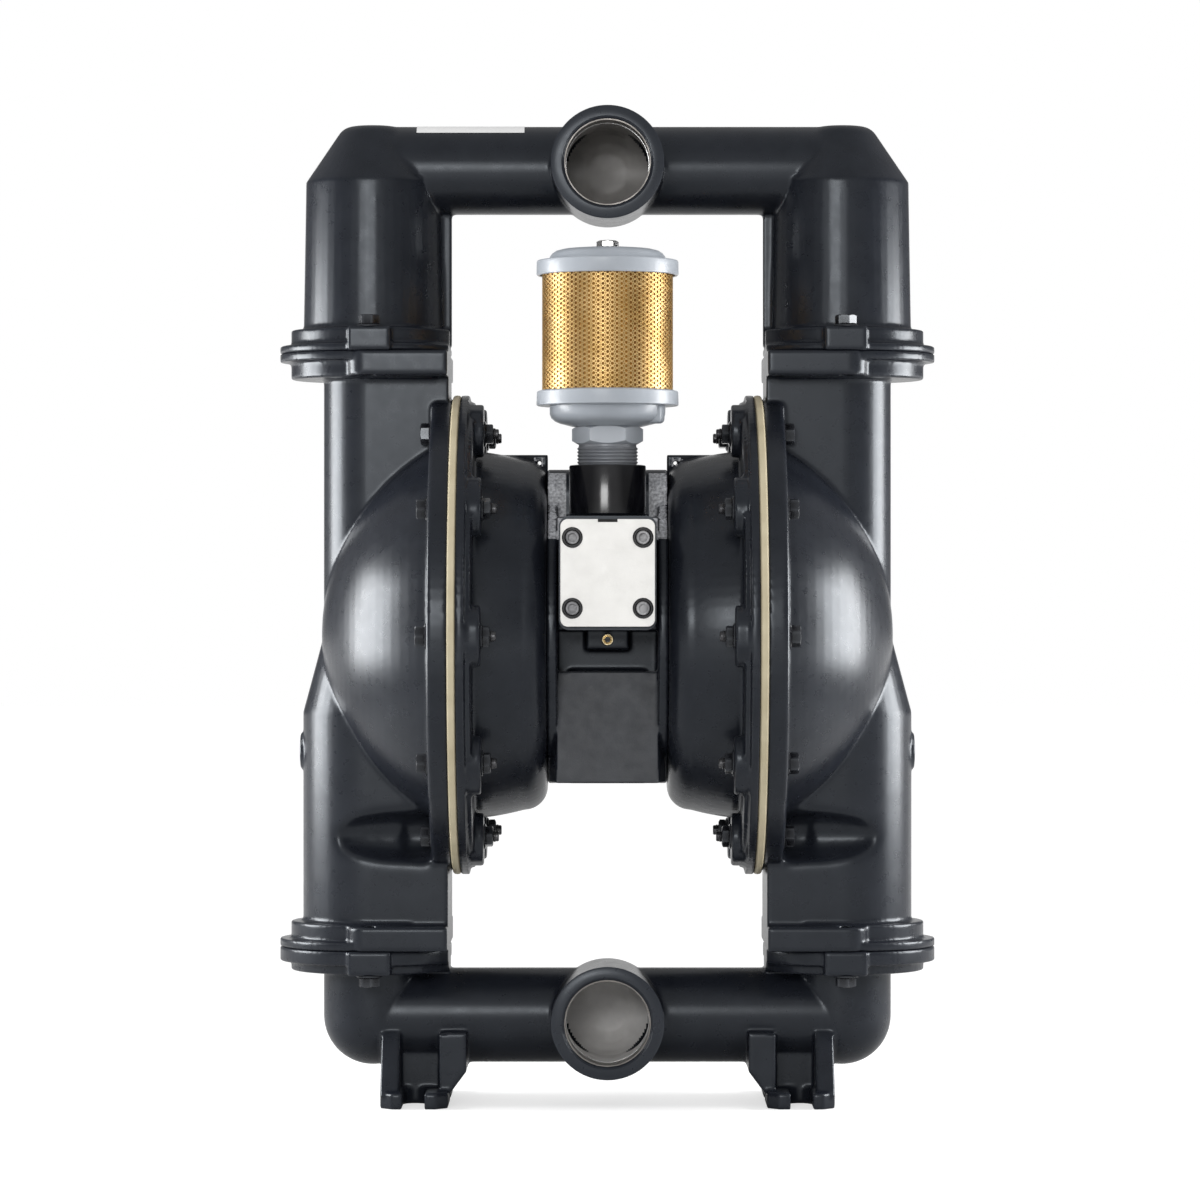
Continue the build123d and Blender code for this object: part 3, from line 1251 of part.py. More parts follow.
with BuildPart() as muffler_cap:
    with BuildSketch(Plane.XZ.offset(BOSS_Y)):
        with BuildLine():
            Polyline(
                (TIE_ROD_R + TIE_ROD_CLEARANCE, screen_top_z),
                (SCREEN_R + TIE_ROD_CLEARANCE, screen_top_z),
                (SCREEN_R + TIE_ROD_CLEARANCE, MUFFLER_CAP_Z),
                (MUFFLER_RIM_R, MUFFLER_CAP_Z),
                (MUFFLER_RIM_R, MUFFLER_CAP_Z + MUFFLER_CAP_RIM),
                (MUFFLER_CAP_R, MUFFLER_CAP_Z + MUFFLER_CAP_RIM),
            )
            SagittaArc(
                (TIE_NUT_FLATS, muffler_cap_top_z),
                (MUFFLER_CAP_R, MUFFLER_CAP_Z + MUFFLER_CAP_RIM),
                MUFFLER_CAP_CROWN,
            )
            Polyline(
                (TIE_NUT_FLATS, muffler_cap_top_z),
                (TIE_ROD_R + TIE_ROD_CLEARANCE, muffler_cap_top_z),
                (TIE_ROD_R + TIE_ROD_CLEARANCE, screen_top_z),
            )
        make_face()
    revolve(axis=MUFFLER_AXIS)
save(muffler_cap, "muffler_cap")

with BuildPart() as muffler_tie_rod:
    with BuildSketch(Plane.XY.offset(tie_bar_top_z - TIE_BAR)):
        with Locations((0, -BOSS_Y)):
            Circle(TIE_ROD_R)
    extrude(amount=muffler_cap_top_z + TIE_NUT_HEIGHT + 1 - tie_bar_top_z + TIE_BAR)
save(muffler_tie_rod, "muffler_tie_rod")

with BuildPart() as muffler_nut:
    with BuildSketch(Plane.XY.offset(muffler_cap_top_z)):
        with Locations((0, -BOSS_Y)):
            RegularPolygon(TIE_NUT_FLATS / 2, 6, major_radius=False)
            Circle(TIE_ROD_R + M8_NUT_CLEARANCE, mode=CUT)
    extrude(amount=TIE_NUT_HEIGHT)
save(muffler_nut, "muffler_nut")


# ---------------------------------------------------------------- fasteners
def flanged_bolt(length):
    """M8 bolt with a washer face, its shank down the negative Z axis."""
    with BuildPart() as bolt:
        Cylinder(M8_FLANGE_R, M8_FLANGE, align=(Align.CENTER, Align.CENTER, Align.MIN))
        with BuildSketch(Plane.XY):
            RegularPolygon(M8_FLATS / 2, 6, major_radius=False)
        extrude(amount=M8_HEAD)
        Cylinder(M8_R, length, align=(Align.CENTER, Align.CENTER, Align.MAX))
    return bolt.part


def flanged_nut():
    """M8 nut with a washer face on Z = 0."""
    with BuildPart() as nut:
        Cylinder(M8_FLANGE_R, M8_FLANGE, align=(Align.CENTER, Align.CENTER, Align.MIN))
        with BuildSketch(Plane.XY):
            RegularPolygon(M8_FLATS / 2, 6, major_radius=False)
        extrude(amount=M8_NUT)
        with BuildSketch(Plane.XY):
            Circle(M8_R + M8_NUT_CLEARANCE)
        extrude(amount=M8_NUT, mode=CUT)
    return nut.part


def socket_screw():
    """Screw that holds an air cap to the centre body."""
    with BuildPart() as screw:
        Cylinder(
            AIR_CAP_SCREW_HEAD_R,
            AIR_CAP_SCREW_HEAD,
            align=(Align.CENTER, Align.CENTER, Align.MIN),
        )
        Cylinder(M8_R, AIR_CAP_SCREW_LENGTH, align=(Align.CENTER, Align.CENTER, Align.MAX))
    return screw.part


with BuildPart() as right_rim_bolts:
    with Locations(rod_plane(CAP_FACE_X)):
        with rim_bolts():
            add(flanged_bolt(DIAPHRAGM_BOLT_LENGTH))
save_pair(right_rim_bolts, "rim_bolts")

with BuildPart() as right_rim_nuts:
    with Locations(rod_plane(BOLT_LUG_X, -1)):
        with rim_bolts():
            add(flanged_nut())
save_pair(right_rim_nuts, "rim_nuts")

with BuildPart() as right_air_cap_screws:
    with Locations(Plane(origin=(AIR_CAP_END_X + AIR_CAP_WALL, 0, ROD_Z), x_dir=(0, 0, 1), z_dir=(1, 0, 0))):
        with PolarLocations(AIR_CAP_SCREW_RING_R, AIR_CAP_SCREWS):
            add(socket_screw())
save_pair(right_air_cap_screws, "air_cap_screws")

for label, head_z, up in (
    ("outlet_manifold_bolts", UPPER_JOINT_Z + LUG_THICK, 1),
    ("inlet_manifold_bolts", LOWER_JOINT_Z - LUG_THICK, -1),
):
    with BuildPart() as joint_bolts:
        for side in (-1, 1):
            for end in (-1, 1):
                place = Plane(
                    origin=(side * LEG_X, end * JOINT_BOLT_Y, head_z),
                    x_dir=(1, 0, 0),
                    z_dir=(0, 0, up),
                )
                with Locations(place):
                    add(flanged_bolt(JOINT_BOLT_LENGTH))
    save(joint_bolts, label)
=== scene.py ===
import math
import random

import bmesh
import bpy
from mathutils import Matrix, Vector


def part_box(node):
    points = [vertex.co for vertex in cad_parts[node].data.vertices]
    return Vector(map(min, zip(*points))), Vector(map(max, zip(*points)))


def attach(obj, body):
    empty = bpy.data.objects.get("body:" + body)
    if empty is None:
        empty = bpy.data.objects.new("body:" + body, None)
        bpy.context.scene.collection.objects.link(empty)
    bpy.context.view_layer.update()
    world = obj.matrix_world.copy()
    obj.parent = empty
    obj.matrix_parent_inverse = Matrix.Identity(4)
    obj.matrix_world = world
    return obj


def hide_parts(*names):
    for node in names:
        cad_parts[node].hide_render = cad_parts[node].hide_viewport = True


# Air operated double diaphragm pump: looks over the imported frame.
# Metres, +Z up, the ports face -Y. Sizes that the frame's boxes hold are read from them.
# Points written in millimetres are scaled by MM where a mesh is made.

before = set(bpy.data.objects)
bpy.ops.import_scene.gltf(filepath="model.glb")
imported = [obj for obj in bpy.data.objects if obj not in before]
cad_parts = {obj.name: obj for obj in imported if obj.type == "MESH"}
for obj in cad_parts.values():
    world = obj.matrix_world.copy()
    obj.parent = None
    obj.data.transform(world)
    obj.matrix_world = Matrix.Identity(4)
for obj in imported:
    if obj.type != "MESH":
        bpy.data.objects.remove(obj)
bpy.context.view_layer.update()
MM = 0.001
HOUSING = "pump_housing"
random.seed(11)

# ---------------------------------------------------------------- places read from the frame
MUFFLER_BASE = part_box("muffler_base")
MUFFLER_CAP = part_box("muffler_cap")
MUFFLER_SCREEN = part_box("muffler_screen")
MUFFLER_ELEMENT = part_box("muffler_element")
NUT_LOW_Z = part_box("muffler_nut")[0].z
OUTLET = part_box("outlet_manifold")
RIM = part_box("right_diaphragm")
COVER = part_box("valve_cover_plate")

ROD_Z = (RIM[0].z + RIM[1].z) / 2
RIM_R = RIM[1].y
PORT_FACE_Y = OUTLET[0].y
MUFFLER_Y = (MUFFLER_SCREEN[0].y + MUFFLER_SCREEN[1].y) / 2

# ---------------------------------------------------------------- sizes the frame doesn't state
RIM_IN_X = 100.3 * MM
RIM_OUT_X = 106.0 * MM
CAP_FACE_X = 119.5 * MM
NUT_FACE_X = 84.0 * MM
BOLT_RING_R = 143.9 * MM
BOLT_COUNT = 10
LEG_X = 161.5 * MM
OUTLET_Z = 641.0 * MM
INLET_Z = 59.0 * MM
OUTLET_TUBE_R = 30.3 * MM
PORT_R = 38.15 * MM
JOINT_BOLT_Y = 57.6 * MM
BOSS_R = 25.8 * MM
BOSS_TOP_Z = 436.0 * MM
BOSS_BOTTOM_Z = 402.0 * MM
PORT_BORE_R = 28.4 * MM  # the waterway as seen, wider than the node's
LABEL_SPAN = (-131.0 * MM, -57.0 * MM)
CLEAR = 0.05 * MM  # keeps a piece's faces off its neighbour's

# M8 flanged fasteners and the shapes that they share
HEAD_FLATS = 12.8 * MM
HEAD_HEIGHT = 7.8 * MM
NUT_HEIGHT = 6.2 * MM
SHANK_R = 3.95 * MM
NUT_BORE_R = 4.15 * MM
RIM_BOLT_LENGTH = 45.6 * MM
FINE_PITCH = 1.25 * MM
SIXTH = math.pi / 3


# ---------------------------------------------------------------- node materials
EDGE_WEAR_AND_GLINT = (0.53, 0.6)  # pointiness at which the edges' rubbed wear and painted highlight start and are complete
ROUGH_SCALE = 140.0
COAT_ROUGHNESS = 0.12


def new_material(name):
    """Node material with its tree and Principled shader."""
    made = bpy.data.materials.new(name)
    made.use_nodes = True
    tree = made.node_tree
    return made, tree, tree.nodes["Principled BSDF"]


def add_node(tree, kind, **settings):
    """A node with some of its properties or inputs set."""
    node = tree.nodes.new(kind)
    for key, value in settings.items():
        if key in node.inputs:
            node.inputs[key].default_value = value
        else:
            setattr(node, key, value)
    return node


def noise(tree, scale, detail=3.0, stretch=(1.0, 1.0, 1.0)):
    """Noise over the object's own coordinates, so that it stays put on the piece."""
    where = add_node(tree, "ShaderNodeTexCoord")
    mapping = add_node(tree, "ShaderNodeMapping", Scale=stretch)
    made = add_node(tree, "ShaderNodeTexNoise", Scale=scale, Detail=detail)
    tree.links.new(where.outputs["Object"], mapping.inputs["Vector"])
    tree.links.new(mapping.outputs["Vector"], made.inputs["Vector"])
    return made.outputs["Fac"]


def spread(tree, value, low, high, start=0.35, end=0.65):
    """A noise value spread between two numbers."""
    node = add_node(tree, "ShaderNodeMapRange")
    node.inputs["From Min"].default_value = start
    node.inputs["From Max"].default_value = end
    node.inputs["To Min"].default_value = low
    node.inputs["To Max"].default_value = high
    tree.links.new(value, node.inputs["Value"])
    return node.outputs["Result"]


def shades(tree, value, dark, light):
    """A colour between two shades."""
    ramp = add_node(tree, "ShaderNodeValToRGB")
    ramp.color_ramp.elements[0].position = 0.3
    ramp.color_ramp.elements[0].color = (*dark, 1.0)
    ramp.color_ramp.elements[1].position = 0.7
    ramp.color_ramp.elements[1].color = (*light, 1.0)
    tree.links.new(value, ramp.inputs["Fac"])
    return ramp.outputs["Color"]


def bumps(tree, shader, layers):
    """Stacked bump layers, each a height value with its depth in metres."""
    below = None
    for height, depth in layers:
        bump = add_node(tree, "ShaderNodeBump", Strength=1.0, Distance=depth)
        tree.links.new(height, bump.inputs["Height"])
        if below is not None:
            tree.links.new(below, bump.inputs["Normal"])
        below = bump.outputs["Normal"]
    tree.links.new(below, shader.inputs["Normal"])


def edges_worn_and_glinting(tree, colour, edge_wear_and_glint):
    """The colour with its convex edges turned towards a lighter one: rubbing wear, and in part a painted
    highlight on the edges.
    """
    shape = add_node(tree, "ShaderNodeNewGeometry")
    amount = spread(tree, shape.outputs["Pointiness"], 0.0, 1.0, *EDGE_WEAR_AND_GLINT)
    mix = add_node(tree, "ShaderNodeMix", data_type="RGBA")
    tree.links.new(amount, mix.inputs["Factor"])
    tree.links.new(colour, mix.inputs["A"])
    mix.inputs["B"].default_value = (*edge_wear_and_glint, 1.0)
    return mix.outputs["Result"]


def finish_material(name, dark, light, rough, grain, metal=0.0, specular=0.5, coat=0.0, edge_wear_and_glint=None,
                    tint=(1.0, 1.0, 1.0), patch=60.0):
    """Two shades in patches, a range of roughness, and grain as (scale, depth in metres, stretch)."""
    made, tree, shader = new_material(name)
    colour = shades(tree, noise(tree, patch), dark, light)
    if edge_wear_and_glint:
        colour = edges_worn_and_glinting(tree, colour, edge_wear_and_glint)
    tree.links.new(colour, shader.inputs["Base Color"])
    tree.links.new(spread(tree, noise(tree, ROUGH_SCALE), *rough), shader.inputs["Roughness"])
    shader.inputs["Metallic"].default_value = metal
    shader.inputs["Specular IOR Level"].default_value = specular
    shader.inputs["Specular Tint"].default_value = (*tint, 1.0)
    shader.inputs["Coat Weight"].default_value = coat
    shader.inputs["Coat Roughness"].default_value = COAT_ROUGHNESS
    bumps(tree, shader, [(noise(tree, s, 2.0, stretch), d) for s, d, stretch in grain])
    return made


EVEN = (1.0, 1.0, 1.0)
BLUISH = (0.88, 0.94, 1.0)
cast_black = finish_material(
    "cast_black", (0.0085, 0.0100, 0.0145), (0.0125, 0.0145, 0.0200), (0.27, 0.31),
    [(600.0, 0.00001, EVEN)], specular=0.42, tint=BLUISH,
    edge_wear_and_glint=(0.026, 0.029, 0.036),
)
rough_cast = finish_material(
    "rough_cast", (0.040, 0.043, 0.049), (0.056, 0.060, 0.068), (0.5, 0.62),
    [(300.0, 0.00012, EVEN), (900.0, 0.00008, EVEN)], specular=0.5, edge_wear_and_glint=(0.12, 0.125, 0.135),
)
# Painted highlight: pale mottled glints standing in for the light that rough black paint catches on the
# shoulders and rib corners.
painted_glint_cast = finish_material(
    "painted_glint_cast", (0.16, 0.165, 0.18), (0.62, 0.63, 0.66), (0.35, 0.5),
    [(420.0, 0.00030, (1.0, 1.0, 0.5)), (1100.0, 0.00012, EVEN)], specular=0.5, patch=520.0,
)
bore_dark = finish_material(
    "bore_dark", (0.27, 0.26, 0.25), (0.38, 0.365, 0.35), (0.4, 0.5),
    [(900.0, 0.00004, (1.0, 1.0, 0.2))], specular=0.5,
)
# Painted light: a paler copy of the bore's finish for the lower port, whose inside catches more light.
bore_painted_light = finish_material(
    "bore_painted_light", (0.62, 0.605, 0.59), (0.78, 0.765, 0.75), (0.4, 0.5),
    [(900.0, 0.00004, (1.0, 1.0, 0.2))], specular=0.5,
)
gloss_black = finish_material(
    "gloss_black", (0.003, 0.003, 0.004), (0.005, 0.005, 0.007), (0.14, 0.2),
    [(300.0, 0.00003, EVEN)], specular=0.5, coat=0.4,
)
# Black oxide bolts: their lighter edges are a painted glint as well as wear.
black_oxide = finish_material(
    "black_oxide", (0.005, 0.005, 0.007), (0.010, 0.010, 0.012), (0.12, 0.18),
    [(900.0, 0.00001, EVEN)], specular=0.4, coat=0.15, tint=BLUISH, edge_wear_and_glint=(0.05, 0.053, 0.06),
)
thread_steel = finish_material(
    "thread_steel", (0.05, 0.05, 0.055), (0.12, 0.12, 0.125), (0.25, 0.4),
    [(900.0, 0.00004, EVEN)], metal=0.8,
)
machined = finish_material(
    "machined", (0.16, 0.15, 0.14), (0.24, 0.225, 0.21), (0.3, 0.42),
    [(1200.0, 0.00003, (1.0, 12.0, 1.0))], metal=0.7,
)
bright_edge = finish_material(
    "bright_edge", (0.55, 0.55, 0.55), (0.72, 0.72, 0.72), (0.22, 0.32),
    [(1200.0, 0.00003, EVEN)], metal=1.0,
)
grey_paint = finish_material(
    "grey_paint", (0.345, 0.375, 0.415), (0.385, 0.415, 0.455), (0.34, 0.42),
    [(180.0, 0.00002, EVEN), (900.0, 0.000012, EVEN)], specular=0.45, coat=0.1,
    edge_wear_and_glint=(0.46, 0.49, 0.53),
)
grey_thread = finish_material(
    "grey_thread", (0.20, 0.21, 0.23), (0.28, 0.29, 0.31), (0.35, 0.5),
    [(900.0, 0.00005, EVEN)], specular=0.5, metal=0.3,
)
gilt = finish_material(
    "gilt", (0.56, 0.36, 0.13), (0.72, 0.50, 0.22), (0.38, 0.46),
    [(900.0, 0.00001, EVEN)], metal=0.9,
)
cream_rubber = finish_material(
    "cream_rubber", (0.50, 0.435, 0.29), (0.60, 0.53, 0.37), (0.5, 0.62),
    [(500.0, 0.00008, EVEN)], specular=0.4,
)
blasted = finish_material(
    "blasted", (0.86, 0.85, 0.82), (0.93, 0.92, 0.89), (0.45, 0.55),
    [(1400.0, 0.00008, EVEN), (500.0, 0.00004, EVEN)], specular=0.5, metal=0.15,
)
screw_head = finish_material(
    "screw_head", (0.10, 0.10, 0.105), (0.34, 0.34, 0.345), (0.3, 0.45),
    [(700.0, 0.00015, EVEN)], metal=0.6,
)
steel = finish_material(
    "steel", (0.42, 0.42, 0.42), (0.58, 0.58, 0.58), (0.22, 0.34),
    [(1200.0, 0.00003, (1.0, 10.0, 1.0))], metal=1.0,
)
brass = finish_material(
    "brass", (0.62, 0.50, 0.30), (0.80, 0.68, 0.45), (0.2, 0.32),
    [(1200.0, 0.00003, EVEN)], metal=1.0,
)
black_rubber = finish_material(
    "black_rubber", (0.008, 0.008, 0.008), (0.016, 0.016, 0.016), (0.6, 0.75),
    [(700.0, 0.00006, EVEN)], specular=0.4,
)
ball_rubber = finish_material(
    "ball_rubber", (0.70, 0.69, 0.65), (0.80, 0.79, 0.76), (0.35, 0.45),
    [(300.0, 0.00004, EVEN)], specular=0.5,
)
label_white = finish_material(
    "label_white", (0.78, 0.78, 0.78), (0.84, 0.84, 0.84), (0.4, 0.5),
    [(500.0, 0.00003, EVEN)], specular=0.5,
)


def felt_material():
    """Filter felt: amber brown with darker upright streaks."""
    made, tree, shader = new_material("felt")
    streaks = noise(tree, 130.0, 3.0, (1.0, 1.0, 0.03))
    tree.links.new(
        shades(tree, streaks, (0.34, 0.16, 0.035), (0.80, 0.44, 0.10)), shader.inputs["Base Color"]
    )
    shader.inputs["Roughness"].default_value = 0.8
    bumps(tree, shader, [(noise(tree, 900.0, 2.0), 0.0002)])
    return made


felt = felt_material()


# ---------------------------------------------------------------- mesh helpers
def loose(name, work):
    """Mesh object from a bmesh."""
    mesh = bpy.data.meshes.new(name)
    bmesh.ops.recalc_face_normals(work, faces=work.faces)
    work.to_mesh(mesh)
    work.free()
    piece = bpy.data.objects.new(name, mesh)
    bpy.context.scene.collection.objects.link(piece)
    return piece


def put(name, work, materials, smooth=True):
    """A piece of the housing from a bmesh, with edges kept crisp where it is smooth."""
    piece = loose(name, work)
    for material in materials:
        piece.data.materials.append(material)
    for face in piece.data.polygons:
        face.use_smooth = smooth
    if smooth:
        sharp = piece.modifiers.new("crisp", "EDGE_SPLIT")
        sharp.split_angle = math.radians(32)
    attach(piece, HOUSING)
    return piece


def axis_matrix(origin, direction):
    """Places local +Z along a direction at an origin."""
    turn = Vector(direction).to_track_quat("Z", "Y").to_matrix().to_4x4()
    return Matrix.Translation(Vector(origin)) @ turn


def turned(place, angle, radius, z):
    """Point at an angle, radius and height of a place."""
    return place @ Vector((radius * math.cos(angle), radius * math.sin(angle), z))


def strip(work, low, high, slot=0, closed=True):
    """Faces between two rows of as many vertices, back to the start if closed."""
    count = len(low)
    for i in range(count if closed else count - 1):
        j = (i + 1) % count
        work.faces.new((low[i], low[j], high[j], high[i])).material_index = slot


def fan(work, ring, tip, slot=0):
    """Triangles from a ring of vertices to one vertex."""
    for i in range(len(ring)):
        work.faces.new((ring[i], ring[(i + 1) % len(ring)], tip)).material_index = slot


def lathe(work, place, profile, steps=96, slot=0, closed=True):
    """Turns a profile of (along, radius) points round the place's own Z axis."""
    angles = [2 * math.pi * i / steps for i in range(steps)]
    rings = []
    for along, radius in profile:
        if radius == 0:
            rings.append([work.verts.new(place @ Vector((0, 0, along)))])
        else:
            rings.append([work.verts.new(turned(place, a, radius, along)) for a in angles])
    pairs = list(zip(rings, rings[1:]))
    if closed:
        pairs.append((rings[-1], rings[0]))
    for low, high in pairs:
        if len(low) == len(high) > 1:
            strip(work, low, high, slot)
        elif len(low) != len(high):
            tip, ring = sorted((low, high), key=len)
            fan(work, ring, tip[0], slot)


def thread(low, high, radius, pitch, depth):
    """Profile of a thread's ridges between two heights, as rings and not a helix."""
    points = []
    count = int((high - low) / pitch)
    for i in range(count):
        foot = low + i * pitch
        points += [
            (foot, radius - depth),
            (foot + 0.38 * pitch, radius),
            (foot + 0.62 * pitch, radius),
            (foot + 0.98 * pitch, radius - depth),
        ]
    return points


def hexagon(work, place, flats, low, high, turn=0.0, top=True, bottom=False, steps=48):
    """Sides of a hexagon, chamfered to a round face at the top and the bottom if asked."""
    apothem = flats / 2
    face_r = 0.93 * apothem

    def ring(reach, z_of):
        made = []
        for i in range(steps):
            angle = 2 * math.pi * i / steps
            corner_r = apothem / math.cos((angle + SIXTH / 2) % SIXTH - SIXTH / 2)
            made.append(work.verts.new(turned(place, angle + turn, reach or corner_r, z_of(corner_r))))
        return made

    fall = math.tan(math.radians(30))
    rings = []
    if bottom:
        rings.append(ring(face_r, lambda r: low))
        rings.append(ring(0, lambda r: low + (r - face_r) * fall))
    else:
        rings.append(ring(0, lambda r: low))
    if top:
        rings.append(ring(0, lambda r: high - (r - face_r) * fall))
        rings.append(ring(face_r, lambda r: high))
    else:
        rings.append(ring(0, lambda r: high))
    for below, above in zip(rings, rings[1:]):
        strip(work, below, above)
    return rings


def cap_ring(work, place, ring, height, slot=0):
    """Closes a ring of vertices at a height with a fan."""
    fan(work, ring, work.verts.new(place @ Vector((0, 0, height))), slot)


def step_in(work, place, ring, height, share=None, radius=None, slot=0):
    """Joins a ring to a smaller one at a height: a share of its size, or round with a radius."""
    inner = []
    for vert in ring:
        local = place.inverted() @ vert.co
        ratio = share or radius / math.hypot(local.x, local.y)
        inner.append(work.verts.new(place @ Vector((local.x * ratio, local.y * ratio, height))))
    strip(work, ring, inner, slot)
    return inner


# ---------------------------------------------------------------- castings
VOXEL = 1.25 * MM
BLUR_PASSES = 70
EDGE_PASSES = 4

# Limits of the surfaces with a finish of their own, or with a painted highlight
BLOCK_FRONT_Y = -50.0 * MM
BLOCK_TOP_Z = 297.0 * MM
BLOCK_HALF_X = 33.8 * MM
SHOULDER_Z = 386.0 * MM
SHOULDER_X = 28.5 * MM
CORNER_X = (44.5 * MM, 53.0 * MM)
CORNER_Z = (434.0 * MM, 442.5 * MM)
PORT_MOUTH = 4.0 * MM  # depth of a port's mouth that keeps the casting's finish

# Hollow beside a ball chamber, as (length, radius) in millimetres, and the node's own
SCALLOP = [(0, 0), (0, 17.5), (30, 16.0), (48, 13.5), (58, 11.0), (65, 7.5), (69, 3.5), (70, 0)]
SCALLOP_SHIFT = 5.5 * MM
CAD_SCALLOP_START = 20.0 * MM
CAD_SCALLOP_R = 15.4 * MM
CAD_SCALLOP_X = 175.0 * MM
NECK_R = 48.18 * MM
NECK_IN_X = 110.0 * MM
NECK_Z = (160.0 * MM, 208.0 * MM)
HOLLOW_Z = (162.0 * MM, 206.0 * MM)
HOLLOW_IN_X = 122.5 * MM
HOLLOW_IN_Y = 26.0 * MM
SOFT_FADE = 7.0 * MM


def applied(piece):
    """Gives an object the mesh that its modifiers make."""
    bpy.context.view_layer.update()
    seen = piece.evaluated_get(bpy.context.evaluated_depsgraph_get())
    shape = bpy.data.meshes.new_from_object(seen)
    piece.modifiers.clear()
    piece.data = shape


def combine(piece, tool, operation):
    """Exact boolean of one object with another."""
    step = piece.modifiers.new("combine", "BOOLEAN")
    step.object = tool
    step.operation = operation
    step.solver = "EXACT"
    applied(piece)


def join(piece, extra):
    """Adds a second closed shell to an object's mesh."""
    work = bmesh.new()
    work.from_mesh(piece.data)
    work.from_mesh(extra.data)
    work.to_mesh(piece.data)
    work.free()
    bpy.data.objects.remove(extra)


def hull(work, points):
    """Adds the convex hull of points given in millimetres."""
    verts = [work.verts.new(Vector(point) * MM) for point in points]
    made = bmesh.ops.convex_hull(work, input=verts)
    bmesh.ops.delete(work, geom=made["geom_interior"], context="VERTS")


def recast(node, materials, pick=None, add=None, cut=None, soft=None):
    """Copy of a CAD casting with its edges rounded as a mould leaves them, in the node's place.

    pick gives the index of a face's material from its centre and normal, add and cut are loose
    solids that are used up, and soft gives the share of extra smoothing at a point."""
    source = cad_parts[node]
    mesh = source.data.copy()
    mesh.transform(source.matrix_world)
    piece = bpy.data.objects.new(f"{node}_cast", mesh)
    bpy.context.scene.collection.objects.link(piece)
    if cut:
        combine(piece, cut, "DIFFERENCE")
        bpy.data.objects.remove(cut)
    if add:
        join(piece, add)
    skin = piece.modifiers.new("skin", "REMESH")
    skin.mode = "VOXEL"
    skin.voxel_size = VOXEL
    if soft:
        applied(piece)
        group = piece.vertex_groups.new(name="soft")
        for vert in piece.data.vertices:
            share = soft(vert.co)
            if share > 0:
                group.add([vert.index], share, "REPLACE")
        blur = piece.modifiers.new("blur", "SMOOTH")
        blur.factor = 0.5
        blur.iterations = BLUR_PASSES
        blur.vertex_group = "soft"
    soften = piece.modifiers.new("soften", "SMOOTH")
    soften.factor = 0.5
    soften.iterations = EDGE_PASSES
    applied(piece)
    shape = piece.data
    shape.materials.clear()
    for material in materials:
        shape.materials.append(material)
    for face in shape.polygons:
        face.use_smooth = True
        face.material_index = pick(face.center, face.normal) if pick else 0
    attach(piece, HOUSING)
    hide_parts(node)


def body_slot(centre, normal):
    """Picks the front of the lower block, and the shoulders beside the muffler for their painted
    highlight.
    """
    across = abs(centre.x)
    lower = centre.y < BLOCK_FRONT_Y and centre.z < BLOCK_TOP_Z and across < BLOCK_HALF_X
    if lower and normal.y < -0.7:
        return 1
    # The shoulders' front faces get the painted highlight.
    if centre.z > SHOULDER_Z and across > SHOULDER_X and normal.y < -0.5:
        return 2
    return 0


def corner_slot(centre, normal):
    """Picks the webs in the corners of the air caps' lifting ribs, which get a painted highlight."""
    across = CORNER_X[0] < abs(centre.x) < CORNER_X[1]
    up = CORNER_Z[0] < centre.z < CORNER_Z[1]
    return int(across and up and normal.y < -0.8)


def bore_slot(centre_z):
    """Picks the inside of a port whose axis is at a height, and not the tube's back."""
    reach = PORT_BORE_R + 0.5 * MM

    def pick(centre, normal):
        near = math.hypot(centre.x, centre.z - centre_z) < reach
        inside = centre.y < 0 or normal.y < 0
        return int(near and inside and centre.y > PORT_FACE_Y + PORT_MOUTH)

    return pick


def scallop_axis(sign, front):
    """Place of the hollow beside a ball chamber, on a lowest rim bolt's line."""
    y = front * BOLT_RING_R * math.sin(math.pi / BOLT_COUNT)
    z = ROD_Z - BOLT_RING_R * math.cos(math.pi / BOLT_COUNT)
    return axis_matrix((sign * (CAP_FACE_X + CLEAR), y, z), (sign, 0, 0))


def scallop_cuts(sign):
    """Tapering hollows beside one ball chamber."""
    work = bmesh.new()
    for front in (-1, 1):
        place = Matrix.Translation((0, front * SCALLOP_SHIFT, 0)) @ scallop_axis(sign, front)
        lathe(work, place, [(length * MM, radius * MM) for length, radius in SCALLOP], closed=False)
    return loose("scallop_cut", work)


def neck_solid(sign):
    """The stretch of a ball chamber's flank that the hollows lie in."""
    outline = [(NECK_IN_X, -NECK_R)]
    for i in range(25):
        angle = -math.pi / 2 + math.pi * i / 24
        outline.append((LEG_X + NECK_R * math.cos(angle), NECK_R * math.sin(angle)))
    outline.append((NECK_IN_X, NECK_R))
    work = bmesh.new()
    low, high = ([work.verts.new(Vector((sign * x, y, z))) for x, y in outline] for z in NECK_Z)
    work.faces.new(low)
    work.faces.new(high)
    strip(work, low, high)
    return loose("neck", work)


def scallop_fill(sign):
    """What stands again where the CAD's straight hollow is wider than the tapering one."""
    reach = CAD_SCALLOP_X - CAP_FACE_X
    straight = [(CAD_SCALLOP_START, 0.0), (CAD_SCALLOP_START, CAD_SCALLOP_R), (reach, CAD_SCALLOP_R)]
    for a in (0.3, 0.6, 0.9, 1.2, 1.4):
        straight.append((reach + CAD_SCALLOP_R * math.sin(a), CAD_SCALLOP_R * math.cos(a)))
    straight.append((reach + CAD_SCALLOP_R, 0.0))
    work = bmesh.new()
    for front in (-1, 1):
        lathe(work, scallop_axis(sign, front), straight, closed=False)
    fill = loose("scallop_fill", work)
    neck = neck_solid(sign)
    combine(fill, neck, "INTERSECT")
    bpy.data.objects.remove(neck)
    return fill


